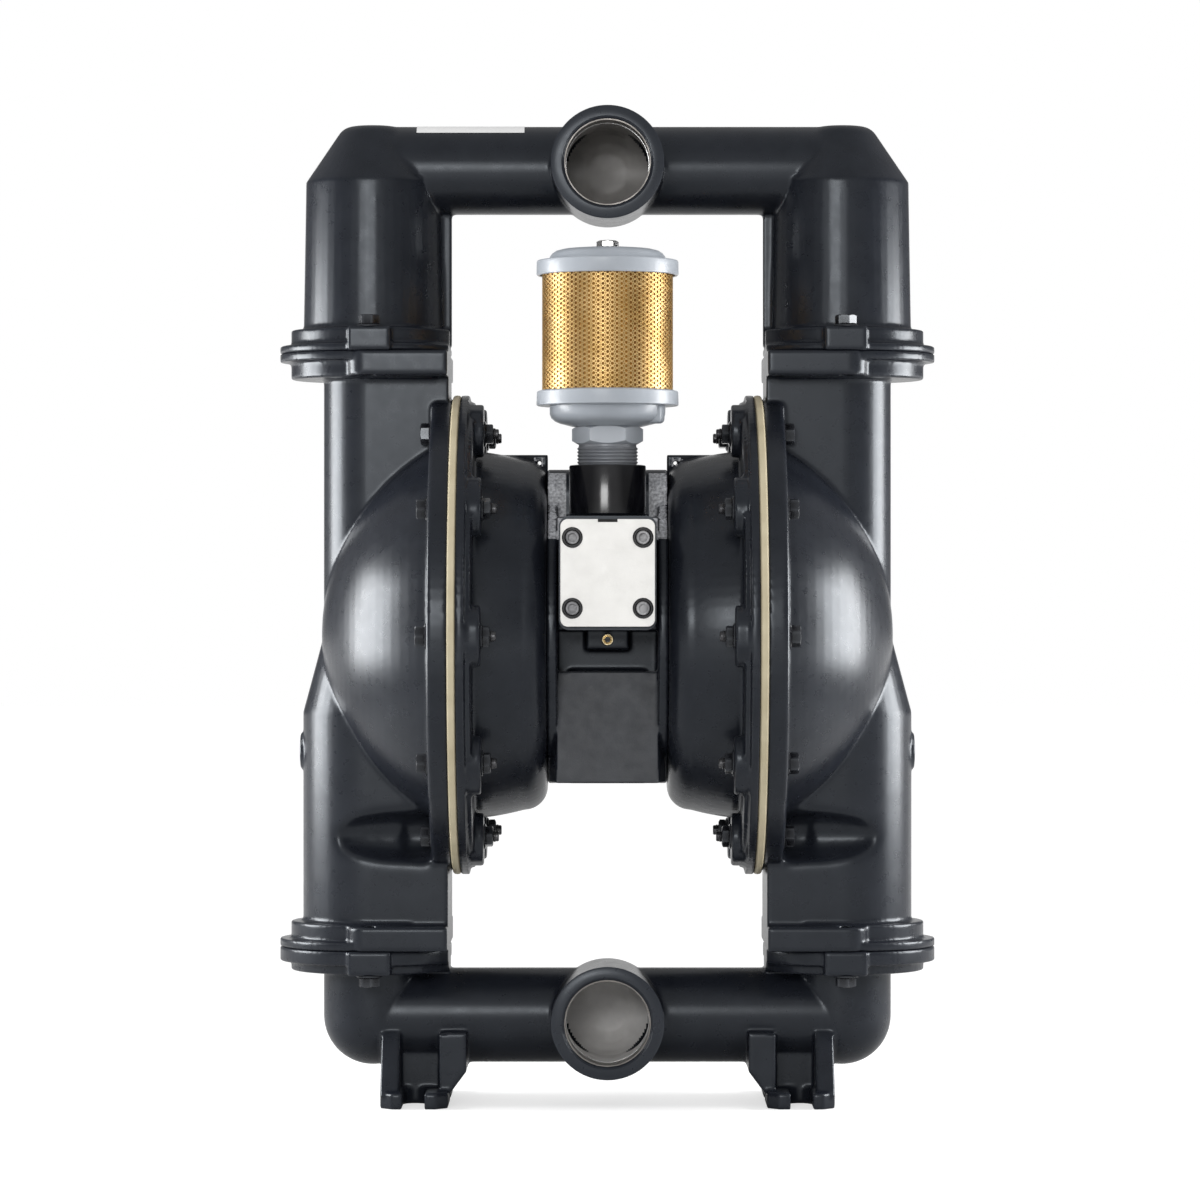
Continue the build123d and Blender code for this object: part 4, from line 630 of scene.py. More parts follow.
def scallop_soft(point):
    """Share of smoothing round the hollows, none at the flange."""
    low, high = HOLLOW_Z
    away = max(
        low - point.z, point.z - high, HOLLOW_IN_Y - abs(point.y), HOLLOW_IN_X - abs(point.x), 0.0
    )
    return max(0.0, 1.0 - away / SOFT_FADE)


def gusset_fill():
    """Upright inner sides of the feet's inner gussets."""
    work = bmesh.new()
    for sign in (-1, 1):
        hull(work, [
            (sign * x, side * 45.45, z)
            for side in (-1, 1)
            for x, z in ((105.8, 11.0), (114.5, 10.0), (96.4, 24.0), (96.4, 49.8), (114.5, 49.8))
        ])
    return loose("gusset_fill", work)


def gusset_cut():
    """What the leaning gussets lose towards the slots."""
    work = bmesh.new()
    for sign in (-1, 1):
        for side in (-1, 1):
            hull(work, [
                (sign * x, side * y, z)
                for y in (22.4, 60.0)
                for x, z in ((114.5, 11.1), (121.6, 11.1), (114.5, 35.0))
            ])
    return loose("gusset_cut", work)


def block_fill():
    """Square corners and the lower block's widening flanks."""
    work = bmesh.new()
    hull(work, [
        (side * x, y, z)
        for side in (-1, 1)
        for x, y, z in ((33.2, -79.95, 294.0), (32.0, -79.95, 296.6), (35.0, -79.95, 221.6),
                        (35.0, -62.0, 296.6), (40.0, -62.0, 221.6))
    ])
    return loose("block_fill", work)


def port_cut(centre_z):
    """Wide waterway behind a port's mouth."""
    work = bmesh.new()
    place = axis_matrix((0, PORT_FACE_Y, centre_z), (0, 1, 0))
    reach = -PORT_FACE_Y
    rounding = ((0.0, 1.0), (12.0, 0.92), (21.0, 0.75), (25.5, 0.5), (27.0, 0.0))
    profile = [(-5.0 * MM, 0.0), (-5.0 * MM, PORT_BORE_R)]
    profile += [(reach + past * MM, share * PORT_BORE_R) for past, share in rounding]
    lathe(work, place, profile, closed=False)
    return loose("port_cut", work)


recast("outlet_manifold", [cast_black, bore_dark], bore_slot(OUTLET_Z), cut=port_cut(OUTLET_Z))
inlet_cut = port_cut(INLET_Z)
join(inlet_cut, gusset_cut())
# The inlet's waterway takes the paler copy of the bore's finish, which is painted light.
recast("inlet_manifold", [cast_black, bore_painted_light], bore_slot(INLET_Z), cut=inlet_cut, add=gusset_fill())
for side, sign in (("right", 1), ("left", -1)):
    fill = scallop_fill(sign)
    cuts = scallop_cuts(sign)
    combine(fill, cuts, "DIFFERENCE")
    recast(f"{side}_fluid_cap", [cast_black], cut=cuts, add=fill, soft=scallop_soft)
    recast(f"{side}_air_cap", [cast_black, painted_glint_cast], corner_slot)
recast("center_body", [cast_black, rough_cast, painted_glint_cast], body_slot, add=block_fill())


# ---------------------------------------------------------------- ports
def port_trim(name, centre_z):
    """Machined mouth, thread ridges and bright waterway edge of one port."""
    work = bmesh.new()
    place = axis_matrix((0, PORT_FACE_Y, centre_z), (0, 1, 0))
    proud = 0.12 * MM
    mouth_r = 29.4 * MM
    thread_r = 28.9 * MM
    ridge = 0.55 * MM
    deep = 25.6 * MM
    face = [
        (0.6 * MM, PORT_R + proud),
        (0.0, PORT_R - 0.9 * MM),
        (0.0, 31.2 * MM),
        (1.6 * MM, mouth_r),
        (2.0 * MM, mouth_r),
        (2.0 * MM, PORT_R - 1.2 * MM),
        (1.0 * MM, PORT_R - 0.6 * MM),
    ]
    lathe(work, place, face, slot=0)
    ridges = thread(2.0 * MM, deep - 2 * MM, thread_r, 2.3 * MM, -ridge)
    wall = [(along, min(radius, 29.0 * MM) - ridge) for along, radius in ridges]
    lathe(work, place, wall + [(wall[-1][0], mouth_r), (wall[0][0], mouth_r)], slot=1)
    ledge = [
        (deep - 1.9 * MM, 29.2 * MM),
        (deep - 1.9 * MM, PORT_BORE_R - 0.3 * MM),
        (deep - 1.0 * MM, PORT_BORE_R - 0.5 * MM),
        (deep - 0.1 * MM, PORT_BORE_R - 0.3 * MM),
        (deep - 0.1 * MM, 29.2 * MM),
    ]
    lathe(work, place, ledge, slot=2)
    piece = put(name, work, [cast_black, machined, bright_edge])


port_trim("outlet_port_trim", OUTLET_Z)
port_trim("inlet_port_trim", INLET_Z)


# ---------------------------------------------------------------- diaphragm rims
def diaphragm(side, sign):
    """Moulded diaphragm: rounded rim between the flanges, one convolution and a flat middle."""
    work = bmesh.new()
    place = axis_matrix((0, 0, ROD_Z), (sign, 0, 0))
    low, high = RIM_IN_X, RIM_OUT_X
    rim = [(0.05, 3.0), (0.35, 1.2), (1.1, 0.35)]
    profile = [(low + CLEAR, 119 * MM)]
    profile += [(low + inward * MM, RIM_R - drop * MM) for inward, drop in rim]
    profile += [((low + high) / 2, RIM_R - 0.02 * MM)]
    profile += [(high - inward * MM, RIM_R - drop * MM) for inward, drop in reversed(rim)]
    liquid_side = [
        (-0.05, 119), (4.0, 110), (8.0, 100), (6.0, 88), (-0.2, 79), (-0.05, 76), (-0.05, 14),
    ]
    profile += [(high + rise * MM, radius * MM) for rise, radius in liquid_side]
    air_side = [(0.05, 14), (0.05, 76), (1.5, 80), (4.0, 88), (7.5, 100), (4.0, 110)]
    profile += [(low + rise * MM, radius * MM) for rise, radius in air_side]
    lathe(work, place, profile, steps=256)
    piece = put(f"{side}_diaphragm_moulding", work, [cream_rubber])
    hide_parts(f"{side}_diaphragm")


diaphragm("right", 1)
diaphragm("left", -1)


# ---------------------------------------------------------------- fasteners
def flanged_head(work, place, turn):
    """M8 flanged hexagon head: washer flange, chamfered hexagon and a dished top."""
    lathe(
        work, place,
        [(0, 3.9 * MM), (0, 8.4 * MM), (0.4 * MM, 8.7 * MM), (0.9 * MM, 8.55 * MM),
         (1.3 * MM, 7.9 * MM), (2.1 * MM, 6.6 * MM), (2.1 * MM, 3.9 * MM)],
        steps=48,
    )
    rings = hexagon(work, place, HEAD_FLATS, 1.9 * MM, HEAD_HEIGHT, turn)
    dish = step_in(work, place, rings[-1], HEAD_HEIGHT - 0.6 * MM, share=0.8)
    cap_ring(work, place, dish, HEAD_HEIGHT - 0.7 * MM)


def flanged_nut(work, place, turn):
    """M8 flanged nut, chamfered towards its bore."""
    lathe(
        work, place,
        [(0, 4.2 * MM), (0, 8.4 * MM), (0.4 * MM, 8.7 * MM), (0.9 * MM, 8.5 * MM),
         (1.2 * MM, 7.9 * MM), (1.9 * MM, 6.6 * MM), (1.9 * MM, 4.2 * MM)],
        steps=48,
    )
    rings = hexagon(work, place, HEAD_FLATS, 1.8 * MM, NUT_HEIGHT, turn)
    step_in(work, place, rings[-1], NUT_HEIGHT - 0.6 * MM, radius=NUT_BORE_R)


def shank_end(work, place, low, high):
    """Threaded end of a bolt, with its chamfer."""
    ridges = thread(low, high - 1.0 * MM, SHANK_R, FINE_PITCH, 0.55 * MM)
    profile = [(low, 0.0)] + ridges + [(high - 0.7 * MM, 3.4 * MM), (high, 2.9 * MM), (high, 0.0)]
    lathe(work, place, profile, steps=32, slot=1, closed=False)


def rim_fasteners(side, sign):
    """Bolts and nuts round one clamped rim."""
    bolts = bmesh.new()
    nuts = bmesh.new()
    for i in range(BOLT_COUNT):
        angle = 2 * math.pi * i / BOLT_COUNT
        y = BOLT_RING_R * math.cos(angle)
        z = ROD_Z + BOLT_RING_R * math.sin(angle)
        out = axis_matrix((sign * CAP_FACE_X, y, z), (sign, 0, 0))
        flanged_head(bolts, out, random.uniform(0, SIXTH))
        back = axis_matrix((sign * NUT_FACE_X, y, z), (-sign, 0, 0))
        flanged_nut(nuts, back, random.uniform(0, SIXTH))
        shank_end(bolts, back, -12 * MM, NUT_FACE_X - (CAP_FACE_X - RIM_BOLT_LENGTH))
    piece = put(f"{side}_rim_bolt_set", bolts, [black_oxide, thread_steel])
    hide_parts(f"{side}_rim_bolts")
    piece = put(f"{side}_rim_nut_set", nuts, [black_oxide])
    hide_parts(f"{side}_rim_nuts")


rim_fasteners("right", 1)
rim_fasteners("left", -1)


def joint_bolts(node, upward):
    """Four bolts of one manifold's joints, heads on the manifold's lugs."""
    low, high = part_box(node)
    seat_z = high.z - HEAD_HEIGHT if upward else low.z + HEAD_HEIGHT
    length = high.z - low.z - HEAD_HEIGHT
    shank = [(0.0, 0.0), (0.0, SHANK_R), (-length, SHANK_R), (-length, 0.0)]
    work = bmesh.new()
    for x in (-LEG_X, LEG_X):
        for y in (-JOINT_BOLT_Y, JOINT_BOLT_Y):
            head = axis_matrix((x, y, seat_z), (0, 0, 1 if upward else -1))
            flanged_head(work, head, random.uniform(0, SIXTH))
            lathe(work, head, shank, steps=24, slot=1, closed=False)
    piece = put(f"{node}_set", work, [black_oxide, thread_steel])
    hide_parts(node)


joint_bolts("outlet_manifold_bolts", True)
joint_bolts("inlet_manifold_bolts", False)


# ---------------------------------------------------------------- exhaust boss
MUFFLER_PLACE = axis_matrix((0, MUFFLER_Y, 0), (0, 0, 1))


def exhaust_boss():
    """Turned gloss sleeve of the exhaust boss."""
    work = bmesh.new()
    r = BOSS_R + 0.15 * MM
    low, high = BOSS_BOTTOM_Z + 0.5 * MM, BOSS_TOP_Z - 0.02 * MM
    profile = [
        (low, r - 3 * MM),
        (low, r - 0.8 * MM),
        (low + 0.8 * MM, r),
        (high - 1.2 * MM, r),
        (high - 0.35 * MM, r - 0.35 * MM),
        (high, r - 1.2 * MM),
        (high, 21.2 * MM),
        (high - 1.0 * MM, 20.7 * MM),
        (high - 3.0 * MM, 20.7 * MM),
    ]
    lathe(work, MUFFLER_PLACE, profile, steps=128)
    piece = put("exhaust_boss_sleeve", work, [gloss_black])


exhaust_boss()


# ---------------------------------------------------------------- muffler
# Its heights are those seen in the photograph, 2 to 3 mm under the nodes'.
HEX_FLATS = 41.6 * MM
HEX_LOW_Z = 449.6 * MM
HEX_TOP_Z = 463.0 * MM
BOWL_RIM_Z = 476.0 * MM
BOWL_RIM_TOP_Z = 486.1 * MM
CAP_DROP = 3.2 * MM
CAP_RIM_RISE = 7.2 * MM
TOP_NUT_DROP = 3.1 * MM
TOP_NUT_FLATS = 12.9 * MM
TOP_NUT_HEIGHT = 4.6 * MM
ROD_END_RISE = 1.9 * MM
LUG_PLACE = (33.8 * MM, 0, 470.2 * MM)
LUG_SIZE = (13.6 * MM, 11.0 * MM, 13.2 * MM, 1.0)
LUG_ANGLE = math.radians(-24)
LUG_ROUND = 3.2 * MM
SCREEN_COLUMNS = 88
SCREEN_ROWS = 27
HOLE_R = 1.1 * MM
HOLE_CORNERS = 8
PLEATS = 36
PLEAT_DEPTH = 1.2 * MM
ELEMENT_BORE_R = 24 * MM
ELEMENT_STEPS = 216


def drain_lug(work):
    """Rounded lug under the rim, beside the bowl."""
    turn = Matrix.Rotation(LUG_ANGLE, 4, "Z")
    place = Matrix.Translation((0, MUFFLER_Y, 0)) @ turn @ Matrix.Translation(LUG_PLACE)
    made = bmesh.ops.create_cube(work, size=1.0, matrix=place @ Matrix.Diagonal(LUG_SIZE))
    edges = list({edge for vert in made["verts"] for edge in vert.link_edges})
    bmesh.ops.bevel(work, geom=edges, offset=LUG_ROUND, segments=5, affect="EDGES", profile=0.5)


def muffler_base():
    """Threaded stem, hexagon, bowl and lower rim of the muffler."""
    work = bmesh.new()
    foot = BOSS_TOP_Z - 4 * MM
    profile = [(foot, 14 * MM)]
    profile += thread(foot, HEX_LOW_Z - 0.6 * MM, 20.45 * MM, 2.31 * MM, 0.9 * MM)
    profile += [
        (HEX_LOW_Z - 0.3 * MM, 19.4 * MM),
        (HEX_LOW_Z + 0.2 * MM, 19.4 * MM),
        (HEX_LOW_Z + 0.2 * MM, 14 * MM),
    ]
    lathe(work, MUFFLER_PLACE, profile, steps=128, slot=1)
    rings = hexagon(
        work, MUFFLER_PLACE, HEX_FLATS, HEX_LOW_Z, HEX_TOP_Z, SIXTH / 2, bottom=True, steps=96
    )
    cap_ring(work, MUFFLER_PLACE, rings[0], HEX_LOW_Z)
    cap_ring(work, MUFFLER_PLACE, rings[-1], HEX_TOP_Z)
    rim_r = MUFFLER_BASE[1].x
    under = [(-1.0, 12.0), (-1.0, 24.0), (0.3, 29.0), (1.0, 32.0), (2.4, 35.4), (4.6, 37.9), (7.2, 39.0)]
    bowl = [(HEX_TOP_Z + rise * MM, radius * MM) for rise, radius in under]
    bowl += [(BOWL_RIM_Z - 0.2 * MM, 39.1 * MM), (BOWL_RIM_Z, 39.6 * MM)]
    edge = [(0.0, 0.8), (0.5, 0.12), (1.6, 0.02), (9.2, 0.25), (9.9, 0.8), (10.1, 1.8)]
    bowl += [(BOWL_RIM_Z + rise * MM, rim_r - inward * MM) for rise, inward in edge]
    bowl += [
        (BOWL_RIM_TOP_Z + 0.5 * MM, 44.4 * MM),
        (BOWL_RIM_TOP_Z - 1.9 * MM, 44.2 * MM),
        (BOWL_RIM_TOP_Z - 1.9 * MM, 12 * MM),
    ]
    lathe(work, MUFFLER_PLACE, bowl, steps=160)
    drain_lug(work)
    piece = put("muffler_base_casting", work, [grey_paint, grey_thread])
    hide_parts("muffler_base")


def muffler_cap():
    """Spun cap: flat rim, step and shallow dome."""
    low, high = MUFFLER_CAP
    rim_r = high.x
    foot = low.z - CAP_DROP
    top = low.z + CAP_RIM_RISE
    profile = [(low.z + 0.2 * MM, 12 * MM), (low.z + 0.2 * MM, rim_r - 2.4 * MM)]
    skirt = [(0.2, 2.4), (0.05, 0.9), (0.5, 0.25), (1.2, 0.02)]
    profile += [(foot + rise * MM, rim_r - inward * MM) for rise, inward in skirt]
    shoulder = [(-1.1, 0.15), (-0.3, 0.7), (0.0, 1.8)]
    profile += [(top + rise * MM, rim_r - inward * MM) for rise, inward in shoulder]
    dome = [
        (0.0, 40.6), (0.5, 39.6), (2.5, 38.9), (4.5, 37.4), (6.2, 34.8), (7.2, 31.0), (8.0, 22.0),
        (8.5, 12.0), (8.6, 5.2), (6.0, 5.2),
    ]
    profile += [(top + rise * MM, radius * MM) for rise, radius in dome]
    work = bmesh.new()
    lathe(work, MUFFLER_PLACE, profile, steps=160)
    piece = put("muffler_cap_spinning", work, [grey_paint])
    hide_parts("muffler_cap")


def muffler_screen():
    """Perforated tube: a staggered pattern of round holes with the sheet's thickness."""
    work = bmesh.new()
    low, high = MUFFLER_SCREEN
    outer = high.x - CLEAR
    inner = outer - 0.8 * MM
    bottom = low.z + 0.1 * MM
    top = high.z - 0.1 * MM
    pitch_z = (top - bottom) / (SCREEN_ROWS + 0.5)
    pitch_a = 2 * math.pi / SCREEN_COLUMNS

    def point(angle, z, radius):
        return work.verts.new(turned(MUFFLER_PLACE, angle, radius, z))

    def plain(middle_a, low_z, high_z):
        """Half a cell without a hole, at the end of a column."""
        corners = ((-1, low_z), (1, low_z), (1, high_z), (-1, high_z))
        for radius in (outer, inner):
            work.faces.new([point(middle_a + side * pitch_a / 2, z, radius) for side, z in corners])

    def cell(middle_a, middle_z):
        """One cell with its hole, from outside through the hole to inside."""
        ring = []
        for k in range(HOLE_CORNERS):
            turn = 2 * math.pi * (k + 0.5) / HOLE_CORNERS
            across, up = math.cos(turn), math.sin(turn)
            edge = 0.5 / max(abs(across), abs(up))
            cell_a = middle_a + across * edge * pitch_a
            cell_z = middle_z + up * edge * pitch_z
            hole_a = middle_a + across * HOLE_R / outer
            hole_z = middle_z + up * HOLE_R
            ring.append([
                point(cell_a, cell_z, outer), point(hole_a, hole_z, outer),
                point(hole_a, hole_z, inner), point(cell_a, cell_z, inner),
            ])
        for row, after in zip(zip(*ring), list(zip(*ring))[1:]):
            strip(work, row, after)

    for column in range(SCREEN_COLUMNS):
        middle_a = column * pitch_a
        start = bottom + 0.5 * pitch_z * (column % 2)
        if column % 2:
            plain(middle_a, bottom, start)
        else:
            plain(middle_a, top - 0.5 * pitch_z, top)
        for row in range(SCREEN_ROWS):
            cell(middle_a, start + (row + 0.5) * pitch_z)
    piece = put("muffler_screen_perforated", work, [gilt], smooth=False)
    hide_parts("muffler_screen")


def muffler_element():
    """Pleated felt behind the screen."""
    work = bmesh.new()
    low, high = MUFFLER_ELEMENT
    outer = high.x - 0.3 * MM
    angles = [2 * math.pi * i / ELEMENT_STEPS for i in range(ELEMENT_STEPS)]

    def ring(z, radius_at):
        return [work.verts.new(turned(MUFFLER_PLACE, a, radius_at(a), z)) for a in angles]

    def pleated(angle):
        return outer - PLEAT_DEPTH * (0.5 + 0.5 * math.cos(angle * PLEATS))

    def bore(angle):
        return ELEMENT_BORE_R

    bottom, top = low.z + 0.1 * MM, high.z - 0.1 * MM
    rings = [ring(bottom, bore), ring(bottom, pleated), ring(top, pleated), ring(top, bore)]
    for i in range(len(rings)):
        strip(work, rings[i - 1], rings[i])
    piece = put("muffler_element_pleated", work, [felt])
    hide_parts("muffler_element")


def muffler_nut():
    """Nut and its washer on the cap."""
    foot = NUT_LOW_Z - TOP_NUT_DROP
    top = foot + TOP_NUT_HEIGHT
    washer_low, washer_r = foot - 0.4 * MM, 8.0 * MM
    washer = [(washer_low, NUT_BORE_R), (washer_low, washer_r), (foot, washer_r), (foot, NUT_BORE_R)]
    work = bmesh.new()
    lathe(work, MUFFLER_PLACE, washer, steps=48)
    rings = hexagon(work, MUFFLER_PLACE, TOP_NUT_FLATS, foot, top, SIXTH / 2, bottom=True)
    for ring, z in ((rings[0], foot), (rings[-1], top)):
        step_in(work, MUFFLER_PLACE, ring, z, radius=NUT_BORE_R)
    piece = put("muffler_nut_plated", work, [steel])
    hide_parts("muffler_nut")


def muffler_rod():
    """Tie rod through the muffler, ending just above the nut."""
    low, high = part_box("muffler_tie_rod")
    top = NUT_LOW_Z + ROD_END_RISE
    radius = (high.x - low.x) / 2
    ridges = thread(top - 14 * MM, top - 1.2 * MM, radius, FINE_PITCH, 0.5 * MM)
    profile = [(low.z, 0.0), (low.z, radius), (top - 14.4 * MM, radius)] + ridges
    profile += [(top - 0.8 * MM, 0.85 * radius), (top, 0.7 * radius), (top, 0.0)]
    work = bmesh.new()
    lathe(work, MUFFLER_PLACE, profile, steps=48, closed=False)
    piece = put("muffler_tie_rod_threaded", work, [steel])
    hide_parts("muffler_tie_rod")


muffler_base()
muffler_rod()
muffler_cap()
muffler_screen()
muffler_element()
muffler_nut()


# ---------------------------------------------------------------- valve cover screws
SCREW_HALF = 23.5 * MM  # of the screws' square


def cover_screws():
    """Cap screws in dark rings on the cover plate."""
    low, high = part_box("valve_cover_screws")
    mid_z = (low.z + high.z) / 2
    head = 3.0 * MM
    floor = 1.0 * MM
    ring = [(-0.1, 4.5), (-0.1, 7.0), (0.5, 6.9), (0.9, 6.3), (0.9, 5.2), (0.2, 4.7)]
    screw = [(0.1, 0.0), (0.1, 4.6), (2.4, 4.6), (2.8, 4.4), (3.0, 4.1), (3.0, 2.9)]
    work = bmesh.new()
    for x in (-SCREW_HALF, SCREW_HALF):
        for z in (mid_z - SCREW_HALF, mid_z + SCREW_HALF):
            place = axis_matrix((x, COVER[0].y, z), (0, -1, 0))
            lathe(work, place, [(rise * MM, radius * MM) for rise, radius in ring], steps=48)
            profile = [(rise * MM, radius * MM) for rise, radius in screw]
            lathe(work, place, profile, steps=48, slot=1, closed=False)
            turn = random.uniform(0, 1)
            socket = hexagon(work, place, 5.0 * MM, floor, head - 0.02 * MM, turn, top=False)
            cap_ring(work, place, socket[0], floor, slot=1)
    piece = put("valve_cover_screw_set", work, [gloss_black, screw_head])
    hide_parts("valve_cover_screws")


def earth_screw():
    """Countersunk earth screw: a bright cone round a socket whose floor is painted shade."""
    low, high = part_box("earth_screw")
    radius = (high.x - low.x) / 2
    place = axis_matrix(((low.x + high.x) / 2, low.y, (low.z + high.z) / 2), (0, 1, 0))
    depth = high.y - low.y
    socket = (1.3 * MM, 0.5 * radius)
    profile = [
        (depth, 0.0),
        (depth, 0.9 * radius),
        (0.4 * MM, radius),
        (0.0, 0.92 * radius),
        (0.0, 0.8 * radius),
        socket,
    ]
    work = bmesh.new()
    lathe(work, place, profile, steps=48, closed=False)
    # The socket's floor is painted shade in gloss black, not the screw's brass.
    lathe(work, place, [socket, (1.4 * MM, 0.0)], steps=48, slot=1, closed=False)
    piece = put("earth_screw_head", work, [brass, gloss_black])
    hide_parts("earth_screw")


cover_screws()
earth_screw()


# ---------------------------------------------------------------- label
def blank_label():
    """Bare white label bent over the top tube."""
    thick = 0.12 * MM
    steps = 12
    first, last = math.radians(-2), math.radians(36)
    work = bmesh.new()

    def line(x, radius):
        made = []
        for i in range(steps + 1):
            angle = first + (last - first) * i / steps
            point = Vector((x, -radius * math.sin(angle), OUTLET_Z + radius * math.cos(angle)))
            made.append(work.verts.new(point))
        return made

    start_x, end_x = LABEL_SPAN
    under, over = OUTLET_TUBE_R + thick, OUTLET_TUBE_R + 2 * thick
    lines = [line(start_x, under), line(end_x, under), line(end_x, over), line(start_x, over)]
    for i in range(len(lines)):
        strip(work, lines[i - 1], lines[i], closed=False)
    for end in (0, -1):
        work.faces.new([row[end] for row in lines])
    piece = put("blank_label", work, [label_white])


blank_label()


# ---------------------------------------------------------------- finishes of the nodes that stay
NODE_FINISH = {
    "valve_cover_plate": blasted,
    "valve_block_gasket": black_rubber,
    "valve_cover_gasket": black_rubber,
    "seat_gaskets": black_rubber,
    "pilot_sleeve": black_rubber,
    "valve_spool": black_rubber,
    "valve_insert": black_rubber,
    "diaphragm_rod": steel,
    "pilot_rod": steel,
    "valve_plate": steel,
}
ENDING_FINISH = {
    "_ball": ball_rubber,
    "_seat": steel,
    "_inner_plate": blasted,
    "_outer_plate": blasted,
    "_plate_screw": steel,
    "_rod_seal": black_rubber,
    "_rod_bush": black_rubber,
    "_air_cap_screws": black_oxide,
}
for node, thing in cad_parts.items():
    finish = NODE_FINISH.get(node, cast_black)
    for ending, material in ENDING_FINISH.items():
        if node.endswith(ending):
            finish = material
    if not thing.material_slots:
        thing.data.materials.append(None)
    for place in thing.material_slots:
        place.material = finish


# ---------------------------------------------------------------- studio
CAMERA_PLACE = (-0.0051, -3.243, 0.345)
CAMERA_LENS = 141.0
WORLD_LIGHT = 0.88  # on matt surfaces
ROOM_LEVEL = 0.16  # seen in gloss, with the paler parts below as (axis, from, to, level)
BACKDROP = ("Y", 0.93, 0.98, 0.85)
ROOM_FRONT = ("Y", -0.6, -0.92, 0.30)
CEILING = ("Z", 0.2, 0.8, 0.25)
FLOOR_HALF = 12.0
FLOOR_GREY = 0.46
FLOOR_GLOW = 0.62
FLOOR_FADE = (0.6, 2.4)  # distances between which the floor starts to glow in gloss
SIDE_BOX_PLACE = (0.86, 0.035, 0.40)
SIDE_BOX_SIZE = (0.42, 0.44)
SIDE_BOX_POWER = 9.0
FRONT_BOX_PLACE = (-0.55, -3.3, 0.96)
FRONT_BOX_AIM = (0.0, 0.0, 0.34)
FRONT_BOX_SIZE = (1.2, 0.6)
FRONT_BOX_POWER = 24.0


def studio_camera():
    """Level camera, square to the front."""
    data = bpy.data.cameras.new("studio")
    data.lens = CAMERA_LENS
    data.sensor_width = 36.0
    camera = bpy.data.objects.new("studio", data)
    camera.location = CAMERA_PLACE
    camera.rotation_euler = (math.radians(90), 0, 0)
    bpy.context.scene.collection.objects.link(camera)
    bpy.context.scene.camera = camera


def softbox(name, place, aim, size, power):
    """Area lamp at a place, facing a point, with its width and height."""
    data = bpy.data.lights.new(name, "AREA")
    data.shape = "RECTANGLE"
    data.size, data.size_y = size
    data.energy = power
    lamp = bpy.data.objects.new(name, data)
    lamp.location = place
    lamp.rotation_euler = (Vector(aim) - Vector(place)).to_track_quat("-Z", "Y").to_euler()
    bpy.context.scene.collection.objects.link(lamp)


def direction_part(tree, axis, low, high, level):
    """Level that rises from 0 between two values of one component of the sky's direction."""
    sky_place = add_node(tree, "ShaderNodeTexCoord")
    split = add_node(tree, "ShaderNodeSeparateXYZ")
    tree.links.new(sky_place.outputs["Generated"], split.inputs["Vector"])
    ramp = add_node(tree, "ShaderNodeMapRange", interpolation_type="SMOOTHSTEP")
    ramp.inputs["From Min"].default_value = low
    ramp.inputs["From Max"].default_value = high
    ramp.inputs["To Max"].default_value = level
    tree.links.new(split.outputs[axis], ramp.inputs["Value"])
    return ramp.outputs["Result"]


def feed(tree, socket, value):
    """Gives a socket a number, or links it to an output."""
    if isinstance(value, float):
        socket.default_value = value
    else:
        tree.links.new(value, socket)


def maths(tree, operation, first, second):
    """Result of an operation on two numbers or outputs."""
    node = add_node(tree, "ShaderNodeMath", operation=operation)
    feed(tree, node.inputs[0], first)
    feed(tree, node.inputs[1], second)
    return node.outputs[0]


def total(tree, values, start):
    """Sum of values and a start."""
    for value in values:
        start = maths(tree, "ADD", value, start)
    return start


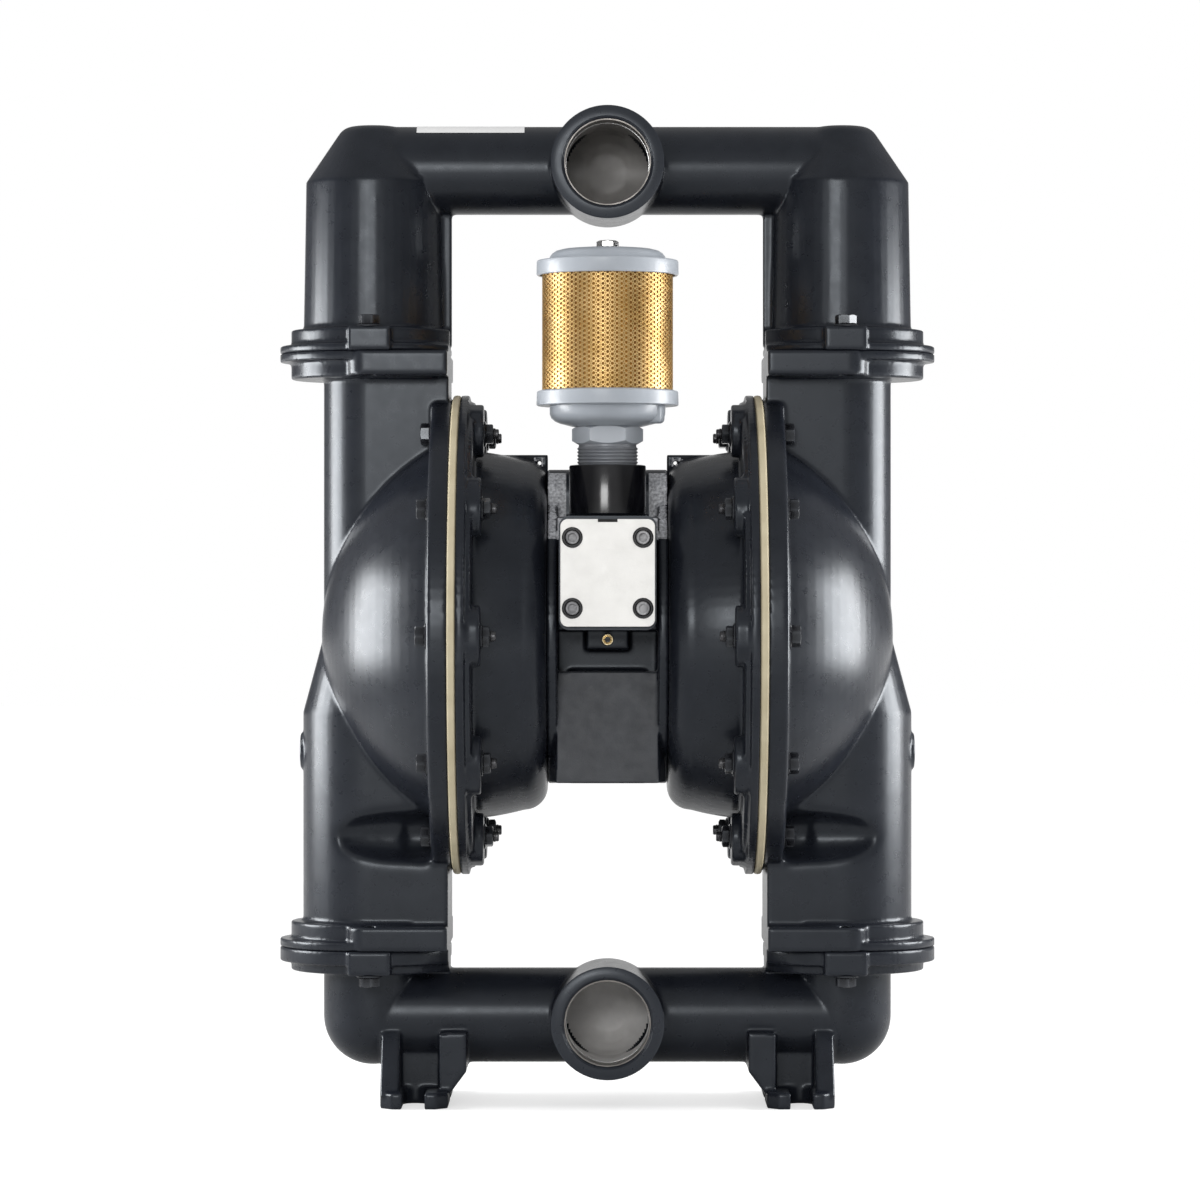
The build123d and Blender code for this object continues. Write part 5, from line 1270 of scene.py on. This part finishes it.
def studio_world():
    """White to the camera; in gloss a dim room with a pale backdrop, front and ceiling."""
    world = bpy.data.worlds.new("studio")
    bpy.context.scene.world = world
    world.use_nodes = True
    tree = world.node_tree
    sky = tree.nodes["Background"]
    sky.inputs["Color"].default_value = (1.0, 1.0, 1.0, 1.0)
    pale = [direction_part(tree, *part) for part in (BACKDROP, ROOM_FRONT, CEILING)]
    room = total(tree, pale, ROOM_LEVEL)
    path = add_node(tree, "ShaderNodeLightPath")
    level = WORLD_LIGHT
    for ray, seen in (("Is Glossy Ray", room), ("Is Transmission Ray", 1.0), ("Is Camera Ray", 1.0)):
        pick = add_node(tree, "ShaderNodeMix", data_type="FLOAT")
        tree.links.new(path.outputs[ray], pick.inputs["Factor"])
        feed(tree, pick.inputs["A"], level)
        feed(tree, pick.inputs["B"], seen)
        level = pick.outputs["Result"]
    tree.links.new(level, sky.inputs["Strength"])


def studio_floor():
    """Pale floor that keeps the shadow and fades into the background."""
    mesh = bpy.data.meshes.new("floor")
    corners = [(x * FLOOR_HALF, y * FLOOR_HALF, 0) for x, y in ((-1, -1), (1, -1), (1, 1), (-1, 1))]
    mesh.from_pydata(corners, [], [(0, 1, 2, 3)])
    floor = bpy.data.objects.new("floor", mesh)
    bpy.context.scene.collection.objects.link(floor)
    made, tree, shader = new_material("floor")
    shader.inputs["Base Color"].default_value = (FLOOR_GREY, FLOOR_GREY, FLOOR_GREY, 1.0)
    shader.inputs["Roughness"].default_value = 0.9
    shader.inputs["Emission Color"].default_value = (1.0, 1.0, 1.0, 1.0)
    path = add_node(tree, "ShaderNodeLightPath")
    where = add_node(tree, "ShaderNodeTexCoord")
    reach = add_node(tree, "ShaderNodeVectorMath", operation="LENGTH")
    tree.links.new(where.outputs["Object"], reach.inputs[0])
    far = spread(tree, reach.outputs["Value"], 0.0, 1.0, *FLOOR_FADE)
    gloss = maths(tree, "MULTIPLY", path.outputs["Is Glossy Ray"], far)
    either = maths(tree, "MAXIMUM", gloss, path.outputs["Is Camera Ray"])
    seen = maths(tree, "MAXIMUM", either, path.outputs["Is Transmission Ray"])
    glow = maths(tree, "MULTIPLY", seen, FLOOR_GLOW)
    tree.links.new(glow, shader.inputs["Emission Strength"])
    mesh.materials.append(made)


studio_camera()
studio_world()
studio_floor()
for side in (-1, 1):
    x, y, z = SIDE_BOX_PLACE
    softbox(f"side_box_{side}", (side * x, y, z), (0.0, y, z), SIDE_BOX_SIZE, SIDE_BOX_POWER)
softbox("front_box", FRONT_BOX_PLACE, FRONT_BOX_AIM, FRONT_BOX_SIZE, FRONT_BOX_POWER)

bpy.context.scene.view_settings.view_transform = "Standard"
